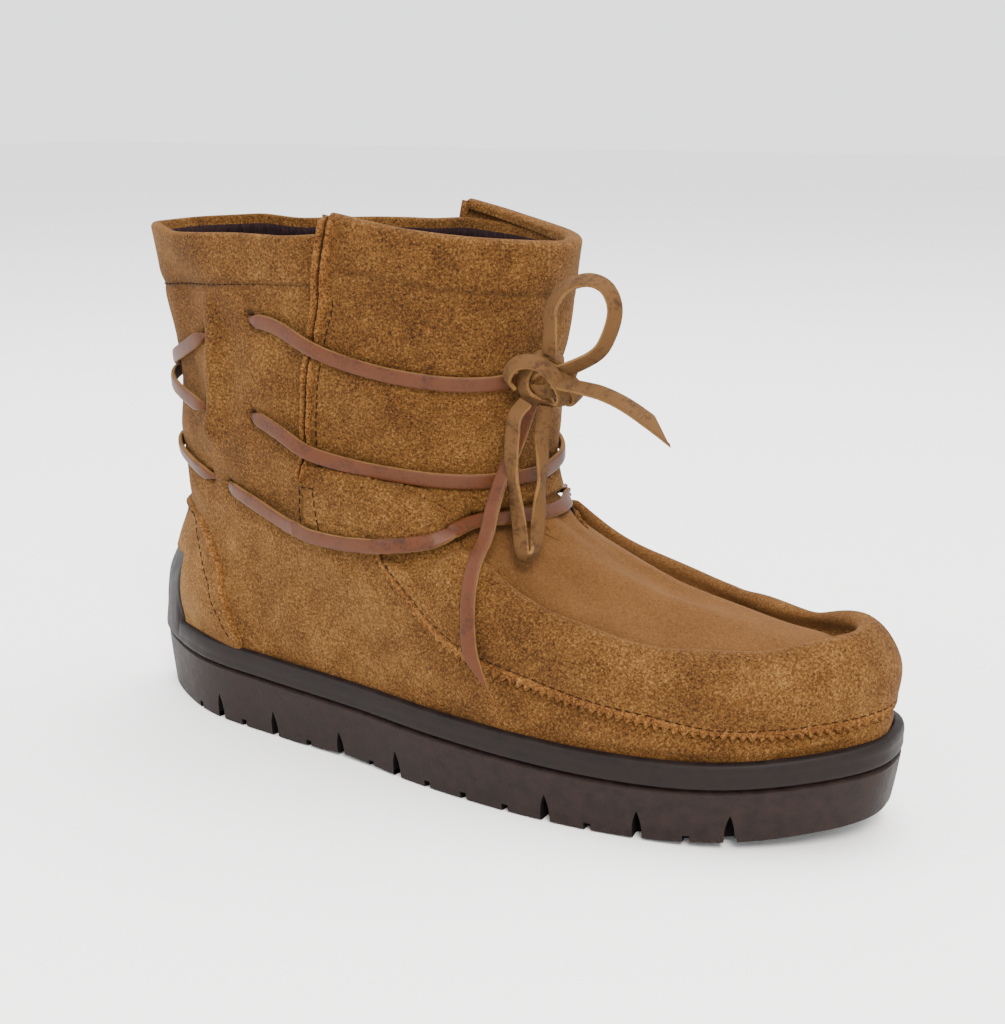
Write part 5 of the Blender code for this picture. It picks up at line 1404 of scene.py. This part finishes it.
def buildSole():
    turn = np.arange(sole["columns"]) / sole["columns"]
    keys = soleKeyRings(turn)
    places = np.linspace(0, len(keys) - 1, sole["rings"])
    rings = smoothCurve(np.arange(len(keys)), keys, places)
    points = rings.reshape(-1, 3)
    quads = gridFaces(len(rings), len(turn), wrapColumns=True)

    def ribbed(inner, part):
        # low ribs across the tread inside a plain border
        border = smoothStep((np.minimum(part, 1 - part) - sole["treadBorder"]) / 0.05)[None]
        wave = 0.5 - 0.5 * np.cos(2 * np.pi * inner[..., 0] / sole["rib"])
        inner[..., 2] += sole["ribDepth"] * border * smoothStep(wave * 1.6 - 0.3)
        return inner

    tread, treadFaces = capAcross(rings[0], len(points), 0, 26, ribbed)
    topFirst = (len(rings) - 1) * len(turn)
    cup, cupFaces = capAcross(rings[-1], len(points) + len(tread), topFirst, 3, lambda inner, part: inner)
    faceSets = [quads] + treadFaces + [faces[:, ::-1] for faces in cupFaces]
    lipStart = int(np.argmax(places >= 6.6))
    kinds = np.zeros(sum(len(faces) for faces in faceSets), int)
    kinds[lipStart * len(turn):len(quads)] = 1
    piece = makePiece("cup_sole", np.concatenate([points, tread, cup]), faceSets,
                      (soleWall, soleLip, notchPaintedShade), kinds)
    half = sole["nickWidth"] / 2
    square = [(-half, -0.004), (half, -0.004), (half, sole["nickHeight"]), (-half, sole["nickHeight"])]
    cutAway(piece, [cutterMesh(teardrop(), notches, sole["notchDepth"]),
                    cutterMesh(square, nicks, sole["nickDepth"]), channelMesh()])
    piece.data.shade_smooth()
    piece.data.set_sharp_from_angle(angle=math.radians(38))
    return finishPiece(piece, ("sole",))


buildSole()
print("stage: sole made")

# Stitches
thread = {"pitch": 0.0030, "length": 0.0021, "radius": 0.00026}


def stitchRows(name, lines):
    # small capsules along lines of points, each lying flat on the normals given with them
    shapeTurn = np.linspace(0, 2 * np.pi, 6, endpoint=False)
    shapeRun = np.array((-1.0, -0.8, 0.0, 0.8, 1.0))
    shapeFat = np.array((0.25, 0.85, 1.0, 0.85, 0.25))
    points = []
    faces = []
    single = gridFaces(5, 6, wrapColumns=True)
    count = 0
    for spots, normals in lines:
        run = np.concatenate([[0], np.cumsum(np.linalg.norm(np.diff(spots, axis=0), axis=1))])
        middles = np.arange(thread["pitch"] / 2, run[-1], thread["pitch"])
        centre = np.stack([np.interp(middles, run, spots[:, axis]) for axis in range(3)], -1)
        ahead = np.stack([np.interp(middles + 0.0005, run, spots[:, axis]) for axis in range(3)], -1)
        normal = np.stack([np.interp(middles, run, normals[:, axis]) for axis in range(3)], -1)
        onward = ahead - centre
        good = np.linalg.norm(onward, axis=1) > 1e-7
        centre, normal, onward = centre[good], normal[good], onward[good]
        onward /= np.linalg.norm(onward, axis=1)[:, None]
        side = np.cross(onward, normal)
        fat = thread["radius"] * shapeFat[None, :, None, None]
        runOut = shapeRun[None, :, None, None] * thread["length"] / 2
        stitch = (centre[:, None, None] + onward[:, None, None] * runOut
                  + side[:, None, None] * np.cos(shapeTurn)[None, None, :, None] * fat
                  + normal[:, None, None] * np.sin(shapeTurn)[None, None, :, None] * fat)
        for number in range(len(centre)):
            faces.append(single + count)
            count += 30
        points.append(stitch.reshape(-1, 3))
    quads = np.concatenate(faces)
    firsts = np.arange(count // 30)[:, None] * 30
    caps = np.concatenate([firsts + np.arange(6)[None, ::-1], firsts + 24 + np.arange(6)[None]])
    return finishPiece(makePiece(name, np.concatenate(points), [quads, caps], (darkThread,)))


def seamOnShaft(line, lift, count=160):
    bearing, height = evenly(line, count, True).T
    turn, level = aroundShaft(bearing, height)
    return suedeSkin(turn, level, lift + panelFlare(height)), outward(turn, level)


def seamOnFace(turn, level, lift):
    level = np.broadcast_to(level, turn.shape)
    return suedeSkin(turn, level, lift), outward(turn, level)


collarLift = boot["collarFold"] * 0.3 - seamPress["depth"]
panelTopLift = panel["gap"] + boot["panelThickness"]
seamEnds = aroundShaft(np.array((109.5, 115.0)), np.array((0.9, 0.9)))[0]
rearTurns = np.linspace(-seamEnds[0], seamEnds[0], 300)
frontTurns = np.linspace(seamEnds[1], 1 - seamEnds[1], 200)
collarLine = tuple(seamOnFace(turns, stitchLevel(turns), lift)
                   for turns, lift in ((rearTurns, collarLift), (frontTurns, collarLift + panelTopLift)))
stitchRows("collar_stitches", collarLine)
besideSeam = tuple((bearing + 5.6, height) for bearing, height in sideSeamLine[1:-2]) + ((114.5, 0.90),)
boxEdges = (((97.2, 0.545), (96.6, 0.470)), ((104.5, 0.545), (107.5, 0.462)),
            ((97.6, 0.548), (104.2, 0.548)))
sideLines = []
for line in (besideSeam,) + boxEdges:
    sideLines.append(seamOnShaft(line, panelTopLift))
    sideLines.append(seamOnShaft(mirrored(line, 360), panelTopLift))
stitchRows("side_seam_stitches", sideLines)
edgeTurns = np.concatenate([np.linspace(-0.143, -0.069, 90), np.linspace(-0.066, 0.066, 90),
                            np.linspace(0.069, 0.143, 90)])
stitchRows("counter_stitches", (seamOnFace(edgeTurns, counterEdge(edgeTurns * 1.03) - 0.24,
                                           counter["gap"] + boot["panelThickness"]),))
bandEdge = np.linspace(bandEnd[0][0] + 0.006, 1 - bandEnd[0][0] - 0.006, 500)
bandLift = band["gap"] + boot["panelThickness"] - 0.0001
stitchRows("moccasin_stitches", (seamOnFace(bandEdge, 3.10, bandLift),))
print("stage: stitches made")


# Floor and light
def softLight(name, place, size, power, tint):
    made = bpy.data.lights.new(name, "AREA")
    made.shape = "DISK"
    made.size = size
    made.energy = power
    made.color = linear(tint)[:3]
    lamp = bpy.data.objects.new(name, made)
    bpy.context.scene.collection.objects.link(lamp)
    lamp.location = place
    lamp.rotation_euler = (Vector((0.0, 0.0, 0.07)) - lamp.location).to_track_quat("-Z", "Y").to_euler()


def buildFloor():
    # painted board, pale and matt, with a barely uneven coat
    made, tree, shader, place = startFinish("painted_board_matt", 0.8)
    coat = addNode(tree, "ShaderNodeTexNoise", {}, {"Vector": place, "Scale": 3.0, "Detail": 2.0})
    ramp = addNode(tree, "ShaderNodeValToRGB", {}, {"Fac": coat.outputs["Fac"]})
    setStops(ramp, ((0.2, "#f3f3f2"), (0.8, "#f6f6f5")))
    tree.links.new(ramp.outputs["Color"], shader.inputs["Base Color"])
    reach = 6.0
    corners = np.array(((-1, -1, 0), (1, -1, 0), (1, 1, 0), (-1, 1, 0)), float) * reach
    mesh = bpy.data.meshes.new("floor")
    mesh.from_pydata(corners.tolist(), [], [(0, 1, 2, 3)])
    mesh.materials.append(made)
    floor = bpy.data.objects.new("floor", mesh)
    bpy.context.scene.collection.objects.link(floor)


buildFloor()
softLight("keyLight", (0.75, -0.95, 1.25), 0.7, 44, "#fff8ee")
softLight("sideLight", (-1.1, -0.7, 0.8), 0.9, 11, "#f4f8ff")
softLight("topLight", (0.05, 0.35, 1.6), 1.1, 36, "#ffffff")
world = bpy.data.worlds.new("softStudio")
world.use_nodes = True
world.node_tree.nodes["Background"].inputs["Color"].default_value = linear("#f7f8fa")
world.node_tree.nodes["Background"].inputs["Strength"].default_value = 2.2
bpy.context.scene.world = world
print("stage: floor and light placed")
